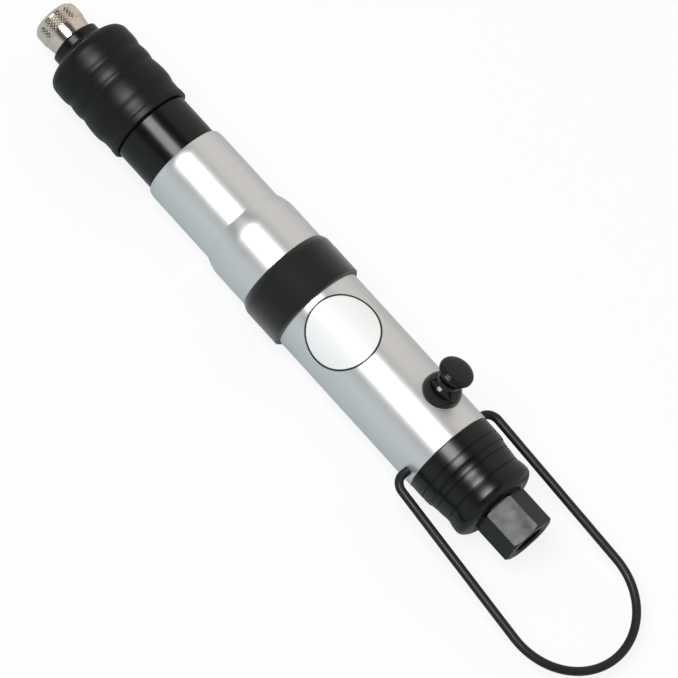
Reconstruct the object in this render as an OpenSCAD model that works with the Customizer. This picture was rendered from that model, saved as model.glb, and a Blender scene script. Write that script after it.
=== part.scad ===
/* [Outer shells, lengths along the axis] */
// Length of the quick-change collar
collar_len = 11.9; // [10:0.1:16]
// Length of the nose boss in front of the sleeve
nose_len = 5.1; // [4:0.1:8]
// Length of the torque-adjusting sleeve
sleeve_len = 37.5; // [36:0.5:48]
// Length of bare clutch tube behind the sleeve
tube_len = 18.1; // [10:0.1:24]
// Length of the gear housing
gear_len = 54.7; // [54.5:0.2:70]
// Length of the coupling ring
coupling_len = 18.7; // [16:0.1:26]
// Length of the rear cap
cap_len = 27.4; // [27.4:0.2:36]
// Length of the hexagon of the air inlet
hex_len = 15.8; // [12:0.1:20]

/* [Outer shells, walls and steps] */
// Wall of the collar round its spring
collar_wall = 1.75; // [1.4:0.05:2.4]
// Wall of the nose boss round the collar
nose_wall = 1.2; // [1:0.05:2]
// Wall of the torque sleeve at its crests
sleeve_wall = 2.8; // [2.4:0.1:4]
// Height of the bare clutch tube over its spigot
tube_wall = 0.7; // [0.6:0.05:1.5]
// Wall of the gear housing round the ring gear
gear_wall = 2.15; // [1.8:0.05:3]
// Height of the swelling at the rear of the gear housing
swell = 1.7; // [1:0.05:2]
// Wall of the coupling ring
coupling_wall = 2.3; // [1.8:0.1:4]
// Wall of the motor housing
motor_wall = 2.4; // [2.2:0.05:3.5]
// Step from the motor housing down to the rear cap
cap_step = 0.2; // [0.1:0.05:1]
// Width across the flats of the air inlet hexagon
hex_af = 19; // [18:0.5:21]

/* [Collar and bit holder] */
// Width across the flats of the bit socket
bit_af = 6.5; // [6.4:0.05:6.7]
// Depth of the bit socket
bit_depth = 24; // [18:1:28]
// Wall of the bit holder at the corners of its socket
snout_wall = 1.75; // [1.6:0.05:2]
// Step from the front of the bit holder out to its shaft
shaft_step = 1; // [0.8:0.05:1.2]
// Distance of the retaining balls from the front of the collar
ball_x = 9.3; // [9.2:0.1:9.5]
// Radius of a retaining ball
ball_r = 1.45; // [1.4:0.05:1.5]
// Travel of the collar when it is pulled forwards
collar_travel = 2.5; // [2:0.1:2.6]
// Travel of the bit holder when it is pushed in to start
push_travel = 1.8; // [1:0.1:2]

/* [Torque clutch] */
// Bore radius of the clutch tube round the clutch
clutch_bore_r = 9.2; // [9.1:0.05:9.4]
// Wall of the clutch tube under the sleeve
core_wall = 2.3; // [2:0.1:2.6]
// Distance of the spring seat behind the front of the sleeve
seat_in = 10.6; // [10:0.1:12]
// Travel of the spring seat over the whole adjustment
seat_travel = 6; // [3:0.5:7]
// Length of the clutch spring at its lowest load
clutch_spring_len = 19.5; // [18:0.5:22]
// Radius of the wire of the clutch spring
clutch_wire_r = 0.6; // [0.5:0.05:0.65]
// Radius of a clutch ball
clutch_ball_r = 1.6; // [1.4:0.1:1.7]
// Number of clutch balls
clutch_balls_n = 6; // [4:1:8]
// Radius of the output shaft
output_r = 6; // [5.8:0.1:6.2]

/* [Gear train] */
// Module of the gear teeth
gear_module = 0.6; // [0.58:0.01:0.62]
// Teeth of each sun gear
sun_teeth = 12; // [12:3:12]
// Teeth of each planet gear
planet_teeth = 15; // [15:3:15]
// Planets in each stage
planets_n = 3; // [3:1:3]
// Face width of the planets of the output stage
planet_len_2 = 8; // [7:0.5:9]
// Face width of the planets of the motor stage
planet_len_1 = 6; // [5:0.5:7]
// Radius of a planet pin
pin_r = 1.5; // [1.3:0.1:1.7]
// Rim of the ring gear behind its teeth
ring_rim = 1.25; // [1:0.05:1.6]

/* [Air motor] */
// Radius of the rotor
rotor_r = 10.8; // [10.6:0.1:11.4]
// Length of the rotor between the end plates
rotor_len = 37.2; // [34:0.2:46]
// Distance of the cylinder bore from the axis
eccentric = 1.3; // [1:0.05:1.4]
// Thinnest wall of the cylinder liner
liner_wall = 2.1; // [1.8:0.1:2.6]
// Number of vanes
vanes_n = 5; // [4:1:6]
// Thickness of a vane
vane_t = 2; // [1.5:0.1:2.4]
// Radius of the push rod
rod_r = 1; // [0.8:0.05:1.05]

/* [Reverse button] */
// Distance of the button in front of the rear end of the motor housing
button_back = 15.7; // [15:0.1:20]
// Angle of the button from straight up, towards +Y
button_angle = 13; // [0:1:35]
// Radius of the mushroom head
button_r = 6.7; // [6.4:0.1:7]
// Radius of the neck of the button
button_neck_r = 4.7; // [4.2:0.1:4.8]
// Radius of the dome that guides the button
dome_r = 7.4; // [7.2:0.1:7.8]
// Travel of the button
button_travel = 1.8; // [1:0.1:1.8]

/* [Hanging bail] */
// Distance of the bail pivot in front of the rear end of the motor housing
bail_back = 3.3; // [3:0.1:4]
// Radius of the bail wire
wire_r = 1.65; // [1.5:0.05:1.7]
// Distance of the bail legs from the motor housing at the pivot, middle of the wire
bail_side = 7; // [6:0.05:9]
// Half the width of the bail where its round end starts
bail_end_w = 27; // [26:0.5:30]
// Distance from the pivot to the far end of the bail, middle of the wire
bail_len = 98; // [90:1:130]
// Angle by which the bail droops at rest
bail_droop = 6.5; // [0:0.5:12]

/* [Air inlet] */
// Bore radius of the threaded air inlet
inlet_r = 5.9; // [5.7:0.1:6.2]
// Depth of the threaded bore of the air inlet
inlet_depth = 12; // [10:0.5:14]

/* [Hidden] */
$fn = 64;

// Clearances: between a shell and what moves past it, on a shaft, in a seat, on a tooth
gap = 0.3;
running = 0.04;
seat_fit = 0.03;
tooth_play = 0.04;
// How far a cut runs past the face that it opens
over = 0.5;
// Steps of a smooth outline between two of its points
curve_steps = 6;

// Teeth, as shares of the module, and the pressure angle
addendum_share = 0.85;
dedendum_share = 1.25;
pressure_angle = 20;
ring_teeth = sun_teeth + 2 * planet_teeth;
centre_r = gear_module * (sun_teeth + planet_teeth) / 2;
sun_tip_r = gear_module * (sun_teeth / 2 + addendum_share);
ring_tip_r = gear_module * (ring_teeth / 2 - addendum_share);
ring_root_r = gear_module * (ring_teeth / 2 + dedendum_share);
disc_r = ring_tip_r - gap;
sun_hole_r = sun_tip_r + gap;

// Radii of the bit holder and of what closes round it, from the socket outwards
snout_r = bit_af / sqrt(3) + snout_wall;
spindle_r = snout_r + shaft_step;
bush_wall = 1.7;
bush_r = spindle_r + bush_wall;
collar_room = 1.7;
collar_mouth_r = snout_r + collar_room;
collar_r = collar_mouth_r + collar_wall;
collar_groove_d = 0.65;
collar_skirt_d = 0.35;
collar_rear_d = 0.95;
collar_groove_r = collar_r - collar_groove_d;
collar_skirt_r = collar_r - collar_skirt_d;
collar_rear_r = collar_r - collar_rear_d;
nose_pocket_r = collar_rear_r + 2 * gap;
nose_r = nose_pocket_r + nose_wall;
nose_step = 0.6;
nose_step_r = nose_r + nose_step;

// Radii of the clutch tube, the adjusting nut and the sleeve, from the bore outwards
core_r = clutch_bore_r + core_wall;
nut_r = core_r + gap;
nut_wall = 2.5;
sleeve_bore_r = nut_r + nut_wall + gap;
sleeve_r = sleeve_bore_r + sleeve_wall;
sleeve_lip_r = nose_step_r + gap;

// Radii of the gear housing, from the ring gear outwards
gear_bore_r = ring_root_r + ring_rim;
tube_r = gear_bore_r + tube_wall;
gear_r = gear_bore_r + gear_wall;
shoulder_r = gear_r + swell;

// Radii of the motor, from the rotor outwards
rotor_clear = 0.1;
liner_bore_r = rotor_r + eccentric + rotor_clear;
motor_bore_r = liner_bore_r + eccentric + liner_wall;
motor_r = motor_bore_r + motor_wall;
spigot_wall = 1.8;
spigot_r = motor_bore_r + spigot_wall;
coupling_r = spigot_r + coupling_wall;
cap_r = motor_r - cap_step;

// Motor parts, lengths along the axis
plate_wall = 3;
motor_bearing_w = 5;
front_lip = 2.2;
rear_lip = 0.5;
plate_front_w = plate_wall + motor_bearing_w + front_lip;
plate_rear_w = plate_wall + motor_bearing_w + rear_lip;
liner_len = rotor_len + 2 * gap;
bush_stem_r = 6.2;
block_wall = 2.4;
motor_len = gap + liner_len + plate_rear_w + block_wall + bush_stem_r + button_back;

// Faces of the shells along the axis, front of the collar at zero
nose_x = collar_len + gap;
sleeve_x = nose_x + nose_len;
sleeve_end = sleeve_x + sleeve_len;
tube_end = sleeve_end + tube_len;
gear_end = tube_end + gear_len;
coupling_end = gear_end + coupling_len;
motor_end = coupling_end + motor_len;
cap_end = motor_end + cap_len;
hex_end = cap_end + hex_len;

// Collar, lengths from its front face, and where it holds or frees a ball
collar_chamfer = 1.6;
band_end = 7.3;
collar_groove_w = 0.6;
hold_share = 0.1;
free_share = 0.55;
land_lead_share = 1.85;
land_r = snout_r + hold_share * ball_r;
land_x = ball_x - land_lead_share * ball_r;
land_end = ball_x - ball_r + collar_travel;
release_r = snout_r + free_share * ball_r;

// Ring that keeps the collar on
snap_x = 1.3;
snap_w = 0.8;
snap_r = collar_mouth_r - gap;
snap_depth = 0.4;

// Wires and turns of the springs
collar_wire_r = 0.3;
collar_turns = 3;
clutch_turns = 6;
throttle_wire_r = 0.4;
throttle_turns = 5;
button_wire_r = 0.35;
button_turns = 4;
spring_sides = 6;
spring_steps = 14;

// Nose boss of the clutch tube and its bush
nose_round = 1.8;
nose_pocket_room = 1.1;
nose_pocket_x = nose_x + push_travel + nose_pocket_room;
nose_lip = 0.5;
nose_lip_r = spindle_r + gap;
bush_x = nose_pocket_x + nose_lip;
bush_len = 11;

// Clutch, from front to rear
seat_x = sleeve_x + seat_in;
seat_w = 5;
seat_bore_r = spindle_r + gap;
seat_r = clutch_bore_r - gap;
clutch_spring_r = (seat_bore_r + seat_r) / 2;
nut_w = 9;
sleeve_lip_w = 4.1;
sleeve_bush_w = 4.2;
adjust_pin_r = 1.5;
adjust_pins_n = 3;
washer_x = seat_x + seat_w + clutch_spring_len;
washer_t = 1.2;
cam_x = washer_x + washer_t + seat_fit;
cam_w = 5;
plate_gap = 2.2;
driver_x = cam_x + cam_w + plate_gap;
driver_w = 4.5;
driver_r = clutch_bore_r - gap;
clutch_circle_r = driver_r - clutch_ball_r;
spigot_len = 14;

// Bit holder, from front to rear
snout_x = 0.8;
snout_chamfer = 0.5;
socket_chamfer = 0.6;
hex_shaft_af = 12;
hex_lead = 2;
hex_shaft_x = washer_x - hex_lead;
hex_shaft_end = driver_x - plate_gap / 2 - clutch_ball_r - push_travel - gap;
pilot_r = 4;
pilot_len = 6;

// Output bearing and gear train, from front to rear
bearing_ball_share = 0.3;
groove_share = 0.45;
bearing_balls_n = 9;
output_bearing_x = tube_end + spigot_len + gap;
output_bearing_w = 8;
ring_gear_x = output_bearing_x + output_bearing_w;
disc_2 = 3.5;
disc_2_rear = 2.5;
disc_1 = 3;
disc_1_rear = 2.2;
disc_x = ring_gear_x + gap;
planet_2_x = disc_x + disc_2 + gap;
disc_2_rear_x = planet_2_x + planet_len_2 + gap;
disc_1_x = disc_2_rear_x + disc_2_rear + 2 * gap;
planet_1_x = disc_1_x + disc_1 + gap;
disc_1_rear_x = planet_1_x + planet_len_1 + gap;
ring_gear_end = disc_1_rear_x + disc_1_rear + gap;
plate_t = 1.7;
rod_way_r = rod_r + gap;
pillar_r = 1.7;

// Outline of the gear housing
front_round = 3.7;
front_step = 0.6;
swell_back = 15;
swell_len = 7.2;

// Air motor, from front to rear, with its joint to the gear housing
liner_x = coupling_end + gap;
plate_front_x = liner_x - plate_front_w;
joint_x = plate_front_x - gap;
plate_rear_x = liner_x + liner_len;
motor_shaft_r = 5;
pinion_shaft_r = 4.1;
motor_bearing_r = 9.5;
front_bearing_x = liner_x - plate_wall - motor_bearing_w;
rear_bearing_x = plate_rear_x + plate_wall;
shaft_land = 0.8;
slot_floor_r = 4.7;
dowel_r = 1;
dowel_skin = 1.5;
dowel_circle_r = motor_bore_r - dowel_skin - dowel_r;
dowel_in = 2.2;
port_w = 3;
port_len = 12;
ports_n = 3;
port_pitch_share = 0.67;

// Valves and inlet, from front to rear
block_x = plate_rear_x + plate_rear_w;
button_x = block_x + block_wall + bush_stem_r;
block_end = button_x + bush_stem_r + 3 * gap;
passages_n = 4;
cap_spigot_x = block_end + gap;
cap_spigot_wall = 2.3;
chamber_r = motor_bore_r - cap_spigot_wall;
chamber_depth = 16.5;
chamber_end = motor_end + chamber_depth;
throttle_seat_in = 1.5;
throttle_seat_x = motor_end - throttle_seat_in;
throttle_seat_w = 8;
throttle_seat_r = 7.6;
chamber_in_r = 9.4;
throttle_ball_r = 2.6;
throttle_hole_r = 2.2;
throttle_lift = 0.06;
seat_drop = sqrt(throttle_ball_r * throttle_ball_r - throttle_hole_r * throttle_hole_r);
throttle_ball_x = throttle_seat_x + throttle_seat_w + seat_drop + throttle_lift;
valve_bore_r = 6.2;
stem_r = 9;
stem_len = 8;
inlet_hole_r = 4.2;
screen_w = 0.8;
screen_r = 5;
muffler_w = 9;
hex_chamfer = 1.1;
chamfer_angle = 30;

// Reverse button, heights above the skin of the housing
dome_top = 5.6;
head_under = dome_top + button_travel + gap;
head_edge = 12;
head_rim = 0.9;
head_top = 14;
button_spring_r = 3.4;
// Heights of its inner ends above the axis
bush_foot = 7.4;
button_foot = 9;
pocket_foot = 4.2;

// Bail pivot and the round end of the bail
bail_x = motor_end - bail_back;
bail_w = motor_r + bail_side;
bail_tip = motor_bore_r + gap;
bail_hole_r = wire_r + running;
bail_bend_r = 5;
// A bent stretch of the wire is drawn a little thinner than a straight one
bend_share = 0.985;

// Turns an outline of radius and station into a body round the tool's axis
module turned(outline) {
    rotate([0, 90, 0]) rotate_extrude() polygon(outline);
}

// A plain cylinder along the axis, from one station for a length
module axial(x, len, r) {
    translate([x, 0, 0]) rotate([0, 90, 0]) cylinder(h = len, r = r);
}

// A tube along the axis
module axial_tube(x, len, r, bore) {
    difference() {
        axial(x, len, r);
        axial(x - over, len + 2 * over, bore);
    }
}

// A hexagonal bar along the axis, by its width across flats, one corner facing up
module axial_hex(x, len, af) {
    translate([x, 0, 0]) rotate([0, 90, 0]) cylinder(h = len, r = af / sqrt(3), $fn = 6);
}

// Copies set evenly round the axis
module around(count, start = 0) {
    for (i = [0:count - 1]) rotate([start + i * 360 / count, 0, 0]) children();
}

// A smooth curve through points, by Catmull and Rom's rule
function between(a, b, c, d, t) =
    0.5 * ((2 * b) + (c - a) * t + (2 * a - 5 * b + 4 * c - d) * t * t
    + (3 * b - a - 3 * c + d) * t * t * t);
function smooth(p, steps = curve_steps) = [
    for (i = [0:len(p) - 2], k = [0:steps - 1])
        between(p[max(i - 1, 0)], p[i], p[i + 1], p[min(i + 2, len(p) - 1)], k / steps),
    p[len(p) - 1]
];

// Points of an arc about a centre of radius and station
function arc(cr, cx, r, from, to, steps = curve_steps) = [
    for (i = [0:steps])
        [cr + r * cos(from + (to - from) * i / steps), cx + r * sin(from + (to - from) * i / steps)]
];

// Involute of the base circle, and half the angle of a tooth at a radius
function involute(rb, r) = tan(acos(min(rb / r, 1))) * 180 / PI - acos(min(rb / r, 1));
function half_angle(n, r, slack) =
    90 / n - slack / (gear_module * n / 2) * 180 / PI
    + involute(cos(pressure_angle), 1)
    - involute(gear_module * n / 2 * cos(pressure_angle), r);
// Outline of a gear with a tooth on its first axis
function tooth_radii(n, tip, root) =
    let (base = max(gear_module * n / 2 * cos(pressure_angle), root))
    [root, base, base + (tip - base) / 3, base + (tip - base) * 2 / 3, tip];
function gear_points(n, tip, root, slack) =
    let (rs = tooth_radii(n, tip, root), base = gear_module * n / 2 * cos(pressure_angle))
    [
        for (i = [0:n - 1], side = [-1, 1], k = [0:len(rs) - 1])
            let (r = side < 0 ? rs[k] : rs[len(rs) - 1 - k],
                a = i * 360 / n + side * half_angle(n, max(r, base), slack))
            [r * cos(a), r * sin(a)]
    ];

// A gear along the axis, with a tooth pointing up
module gear(x, len, n) {
    tip = gear_module * (n / 2 + addendum_share);
    root = gear_module * (n / 2 - dedendum_share);
    translate([x, 0, 0]) rotate([0, 90, 0]) rotate(180) linear_extrude(height = len)
        polygon(gear_points(n, tip, root, tooth_play));
}

// A coil spring along Z, as one tube swept up its helix
module coil(len, mean_r, wire, turns) {
    count = turns * spring_steps;
    rise = len - 2 * wire;
    points = [
        for (i = [0:count], j = [0:spring_sides - 1])
            let (a = i * 360 / spring_steps, b = j * 360 / spring_sides, r = mean_r + wire * cos(b))
            [r * cos(a), r * sin(a), wire + rise * i / count + wire * sin(b)]
    ];
    last = count * spring_sides;
    faces = concat(
        [[for (j = [0:spring_sides - 1]) j]],
        [for (i = [0:count - 1], j = [0:spring_sides - 1])
            let (n = (j + 1) % spring_sides, a = i * spring_sides)
            [a + j, a + spring_sides + j, a + spring_sides + n]],
        [for (i = [0:count - 1], j = [0:spring_sides - 1])
            let (n = (j + 1) % spring_sides, a = i * spring_sides)
            [a + j, a + spring_sides + n, a + n]],
        [[for (j = [spring_sides - 1:-1:0]) last + j]]
    );
    polyhedron(points, faces);
}

// A coil spring along the tool's axis
module axial_coil(x, len, mean_r, wire, turns) {
    translate([x, 0, 0]) rotate([0, 90, 0]) coil(len, mean_r, wire, turns);
}

// Ball bearing sizes from its bore and outside radius
function race_mid(bore, outside) = (bore + outside) / 2;
function race_ball(bore, outside) = (outside - bore) * bearing_ball_share;

module ball_groove(x, w, bore, outside) {
    translate([x + w / 2, 0, 0]) rotate([0, 90, 0]) rotate_extrude()
        translate([race_mid(bore, outside), 0]) circle(r = race_ball(bore, outside) + running);
}

module race_outer(x, w, bore, outside) {
    difference() {
        axial_tube(x, w, outside, race_mid(bore, outside) + race_ball(bore, outside) * groove_share);
        ball_groove(x, w, bore, outside);
    }
}

module race_inner(x, w, bore, outside) {
    difference() {
        axial_tube(x, w, race_mid(bore, outside) - race_ball(bore, outside) * groove_share, bore);
        ball_groove(x, w, bore, outside);
    }
}

module race_balls(x, w, bore, outside, count) {
    around(count) translate([x + w / 2, 0, race_mid(bore, outside)])
        sphere(r = race_ball(bore, outside));
}

// Collar: mouth over the spring, land that holds the balls in, relief that frees them
module bit_collar() {
    color("silver") turned([
        [collar_mouth_r, 0],
        [collar_r - collar_chamfer, 0],
        [collar_r, collar_chamfer],
        [collar_r, band_end],
        [collar_groove_r, band_end],
        [collar_groove_r, band_end + collar_groove_w],
        [collar_skirt_r, band_end + collar_groove_w],
        [collar_rear_r, collar_len],
        [release_r, collar_len],
        [release_r, land_end + (release_r - land_r)],
        [land_r, land_end],
        [land_r, land_x],
        [collar_mouth_r, land_x]
    ]);
}

module collar_spring() {
    color("gray") axial_coil(snap_x + snap_w, land_x - snap_x - snap_w,
        (snout_r + collar_mouth_r) / 2, collar_wire_r, collar_turns);
}

module collar_retaining_ring() {
    color("dimgray") axial_tube(snap_x, snap_w, snap_r, snout_r - snap_depth + seat_fit);
}

module retaining_balls() {
    color("silver") around(2, 90) translate([ball_x, 0, land_r - ball_r - running]) sphere(r = ball_r);
}

// Bit holder: snout with the hexagon socket, round shaft, hexagon drive and rear pilot
module bit_holder() {
    color("dimgray") difference() {
        union() {
            turned([
                [0, snout_x],
                [snout_r - snout_chamfer, snout_x],
                [snout_r, snout_x + snout_chamfer],
                [snout_r, nose_x],
                [spindle_r, nose_x],
                [spindle_r, hex_shaft_x],
                [0, hex_shaft_x]
            ]);
            axial_hex(hex_shaft_x - over, hex_shaft_end - hex_shaft_x + over, hex_shaft_af);
            axial(hex_shaft_x, driver_x + pilot_len - hex_shaft_x, pilot_r);
        }
        axial_hex(snout_x - over, bit_depth + over, bit_af);
        turned([
            [0, snout_x - over],
            [bit_af / sqrt(3) + over, snout_x - over],
            [bit_af / sqrt(3) - socket_chamfer, snout_x + socket_chamfer],
            [0, snout_x + socket_chamfer]
        ]);
        axial_tube(snap_x, snap_w, snout_r + over, snout_r - snap_depth);
        around(2, 90) translate([ball_x, 0, 0]) cylinder(h = snout_r + over, r = ball_r + running);
    }
}

module nose_bush() {
    color("peru") axial_tube(bush_x, bush_len, bush_r, spindle_r + running);
}

// Clutch tube: rounded nose boss, core under the sleeve, bare rear and threaded spigot
module clutch_tube() {
    color("black") difference() {
        turned(concat(
            [[nose_pocket_r, nose_x]],
            arc(nose_r - nose_round / 2, nose_x + nose_round / 2, nose_round / 2, -90, 0),
            [
                [nose_r, sleeve_x - nose_round],
                [nose_step_r, sleeve_x - nose_round / 2],
                [nose_step_r, sleeve_x + sleeve_lip_w],
                [core_r, sleeve_x + sleeve_lip_w],
                [core_r, sleeve_end + gap],
                [tube_r, sleeve_end + gap],
                [tube_r, tube_end - seat_fit],
                [gear_bore_r - seat_fit, tube_end - seat_fit],
                [gear_bore_r - seat_fit, tube_end + spigot_len],
                [clutch_bore_r, tube_end + spigot_len],
                [clutch_bore_r, bush_x + bush_len],
                [bush_r + seat_fit, bush_x + bush_len],
                [bush_r + seat_fit, bush_x],
                [nose_lip_r, bush_x],
                [nose_lip_r, nose_pocket_x],
                [nose_pocket_r, nose_pocket_x]
            ]
        ));
        around(adjust_pins_n) adjuster_slot();
    }
}

// Slot for one adjusting pin, as long as the seat travels
module adjuster_slot() {
    slot_r = adjust_pin_r + gap;
    for (x = [0, seat_travel]) translate([seat_x + seat_w / 2 + x, 0, 0])
        cylinder(h = core_r + over, r = slot_r);
    translate([seat_x + seat_w / 2, -slot_r, 0]) cube([seat_travel, 2 * slot_r, core_r + over]);
}

// Sleeve outline, shares of its length and of its largest radius
sleeve_shares = [
    [0, 0.72], [0.008, 0.81], [0.036, 0.914], [0.07, 0.966], [0.1, 0.99], [0.15, 0.997],
    [0.22, 1], [0.27, 0.992], [0.321, 0.968], [0.37, 0.982], [0.43, 0.991], [0.475, 0.981],
    [0.517, 0.964], [0.59, 0.988], [0.672, 1], [0.75, 0.995], [0.82, 0.96], [0.9, 0.954]
];
sleeve_lip_shares = [0.925, 0.967];

module torque_sleeve() {
    outer = smooth([for (p = sleeve_shares) [p[1] * sleeve_r, sleeve_x + p[0] * sleeve_len]]);
    color("black") turned(concat(
        [[sleeve_lip_r, sleeve_x]],
        outer,
        [
            [outer[len(outer) - 1].x, sleeve_x + sleeve_lip_shares[0] * sleeve_len],
            [sleeve_lip_shares[1] * sleeve_r, sleeve_x + sleeve_lip_shares[0] * sleeve_len + gap],
            [sleeve_lip_shares[1] * sleeve_r, sleeve_end - gap],
            [sleeve_lip_shares[1] * sleeve_r - gap, sleeve_end],
            [sleeve_bore_r, sleeve_end],
            [sleeve_bore_r, sleeve_x + sleeve_lip_w - gap],
            [sleeve_lip_r, sleeve_x + sleeve_lip_w - gap]
        ]
    ));
}

module sleeve_bush() {
    color("peru") axial_tube(sleeve_end - sleeve_bush_w, sleeve_bush_w,
        sleeve_bore_r - running, core_r + seat_fit);
}

module adjusting_nut() {
    color("darkgray") difference() {
        axial_tube(seat_x + seat_w / 2 - nut_w / 2, nut_w, sleeve_bore_r - gap, nut_r);
        around(adjust_pins_n) translate([seat_x + seat_w / 2, 0, 0])
            cylinder(h = sleeve_r, r = adjust_pin_r + seat_fit);
    }
}

module adjusting_pins() {
    color("silver") around(adjust_pins_n) translate([seat_x + seat_w / 2, 0, seat_bore_r + gap])
        cylinder(h = sleeve_bore_r - 2 * gap - seat_bore_r - gap, r = adjust_pin_r);
}

module spring_seat() {
    color("darkgray") difference() {
        axial_tube(seat_x, seat_w, seat_r, seat_bore_r);
        around(adjust_pins_n) translate([seat_x + seat_w / 2, 0, 0])
            cylinder(h = sleeve_r, r = adjust_pin_r + seat_fit);
    }
}

module clutch_spring() {
    color("gray") axial_coil(seat_x + seat_w, washer_x - seat_x - seat_w,
        clutch_spring_r, clutch_wire_r, clutch_turns);
}

module thrust_washer() {
    color("silver") axial_tube(washer_x, washer_t, seat_r, hex_shaft_af / sqrt(3) + gap);
}

// Clutch balls between the two plates, over the flats of the hexagon
module ball_ring(r) {
    around(clutch_balls_n, 180 / clutch_balls_n)
        translate([cam_x + cam_w + plate_gap / 2, 0, clutch_circle_r]) sphere(r = r);
}

module cam_plate() {
    color("darkgray") difference() {
        axial(cam_x, cam_w, driver_r);
        axial_hex(cam_x - over, cam_w + 2 * over, hex_shaft_af + 2 * running);
        ball_ring(clutch_ball_r + running);
    }
}

module clutch_balls() {
    color("silver") ball_ring(clutch_ball_r);
}

// A carrier disc with holes for its planet pins
module carrier_disc(x, w) {
    difference() {
        axial(x, w, disc_r);
        around(planets_n) translate([0, 0, centre_r]) axial(x - over, w + 2 * over, pin_r + seat_fit);
    }
}

// Pillars that join the two discs of a carrier between its planets
module carrier_pillars(x, len) {
    around(planets_n, 180 / planets_n) translate([0, 0, disc_r - pillar_r - gap])
        axial(x - gap, len + 2 * gap, pillar_r);
}

module planet_pins(x, len) {
    around(planets_n) translate([0, 0, centre_r]) axial(x, len, pin_r);
}

// Output shaft: clutch driver, shaft and the cage of the output planets in one
module output_shaft() {
    color("darkgray") difference() {
        union() {
            axial(driver_x, driver_w, driver_r);
            axial(driver_x, disc_x - driver_x + over, output_r);
            carrier_disc(disc_x, disc_2);
            carrier_pillars(planet_2_x - gap, planet_len_2 + 2 * gap);
            difference() {
                carrier_disc(disc_2_rear_x, disc_2_rear);
                axial(disc_2_rear_x - over, disc_2_rear + 2 * over, sun_hole_r);
            }
        }
        ball_ring(clutch_ball_r + running);
        axial(driver_x - over, pilot_len + push_travel + gap + over, pilot_r + running);
        axial(driver_x, disc_x + disc_2 - driver_x + over, rod_way_r);
    }
}

module output_bearing_inner() {
    color("silver") race_inner(output_bearing_x, output_bearing_w, output_r + seat_fit,
        gear_bore_r - seat_fit);
}

module output_bearing_balls() {
    color("white") race_balls(output_bearing_x, output_bearing_w, output_r + seat_fit,
        gear_bore_r - seat_fit, bearing_balls_n);
}

module output_bearing_outer() {
    color("silver") race_outer(output_bearing_x, output_bearing_w, output_r + seat_fit,
        gear_bore_r - seat_fit);
}

// Gear housing: rounded front edge, plain barrel, swollen rear and threaded spigot
module gear_housing() {
    front_r = tube_r + front_step;
    swell_end = gear_end - swell_back;
    swell_x = swell_end - swell_len;
    color("silver") turned(concat(
        [[gear_bore_r, tube_end]],
        [for (i = [0:curve_steps])
            let (a = 90 * i / curve_steps)
            [front_r + (gear_r - front_r) * sin(a), tube_end + front_round * (1 - cos(a))]],
        [for (i = [0:2 * curve_steps])
            let (t = i / (2 * curve_steps))
            [gear_r + (shoulder_r - gear_r) * sin(90 * t), swell_x + (swell_end - swell_x) * t]],
        [
            [shoulder_r, gear_end],
            [spigot_r - seat_fit, gear_end],
            [spigot_r - seat_fit, joint_x],
            [gear_bore_r, joint_x]
        ]
    ));
}

// Ring gear for both stages, teeth cut right through
module ring_gear() {
    color("darkgray") difference() {
        axial(ring_gear_x, ring_gear_end - ring_gear_x, gear_bore_r - seat_fit);
        translate([ring_gear_x - over, 0, 0]) rotate([0, 90, 0]) rotate(180)
            linear_extrude(height = ring_gear_end - ring_gear_x + 2 * over)
                polygon(gear_points(ring_teeth, ring_root_r, ring_tip_r, -tooth_play));
    }
}

module gear_case_plate() {
    color("gray") axial_tube(ring_gear_end, plate_t, gear_bore_r - seat_fit, sun_hole_r);
}

// A planet at the top of its stage, bored for its pin
module planet(x, len) {
    difference() {
        translate([0, 0, centre_r]) gear(x, len, planet_teeth);
        translate([0, 0, centre_r]) axial(x - over, len + 2 * over, pin_r + running);
    }
}

// One planet of a stage, carried round to its own place without turning its phase
module planet_of(k, x, len) {
    color("darkgray") rotate([k * 360 / planets_n, 0, 0]) planet(x, len);
}

module planet_2_a() { planet_of(0, planet_2_x, planet_len_2); }
module planet_2_b() { planet_of(1, planet_2_x, planet_len_2); }
module planet_2_c() { planet_of(2, planet_2_x, planet_len_2); }
module planet_1_a() { planet_of(0, planet_1_x, planet_len_1); }
module planet_1_b() { planet_of(1, planet_1_x, planet_len_1); }
module planet_1_c() { planet_of(2, planet_1_x, planet_len_1); }

module planet_pins_2() {
    color("silver") planet_pins(disc_x, disc_2_rear_x + disc_2_rear - disc_x);
}

// First carrier, with the sun gear of the output stage on its front
module carrier_1() {
    sun_x = planet_2_x + gap;
    color("darkgray") difference() {
        union() {
            gear(sun_x, disc_1_x - sun_x + over, sun_teeth);
            carrier_disc(disc_1_x, disc_1);
            carrier_pillars(planet_1_x - gap, planet_len_1 + 2 * gap);
            difference() {
                carrier_disc(disc_1_rear_x, disc_1_rear);
                axial(disc_1_rear_x - over, disc_1_rear + 2 * over, sun_hole_r);
            }
        }
        axial(sun_x - over, disc_1_x + disc_1 - sun_x + 2 * over, rod_way_r);
    }
}

module planet_pins_1() {
    color("silver") planet_pins(disc_1_x, disc_1_rear_x + disc_1_rear - disc_1_x);
}

module coupling_ring() {
    chamfer = 0.7;
    brow_step = 0.15;
    brow_len = 3.2;
    front_r = shoulder_r + brow_step;
    color("black") turned(concat(
        [[spigot_r, gear_end + seat_fit]],
        [for (i = [0:curve_steps])
            let (t = i / curve_steps)
            [front_r + (coupling_r - front_r) * sin(90 * t), gear_end + seat_fit + brow_len * t]],
        [
            [coupling_r, coupling_end - chamfer],
            [coupling_r - chamfer, coupling_end - seat_fit],
            [spigot_r, coupling_end - seat_fit]
        ]
    ));
}

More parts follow.
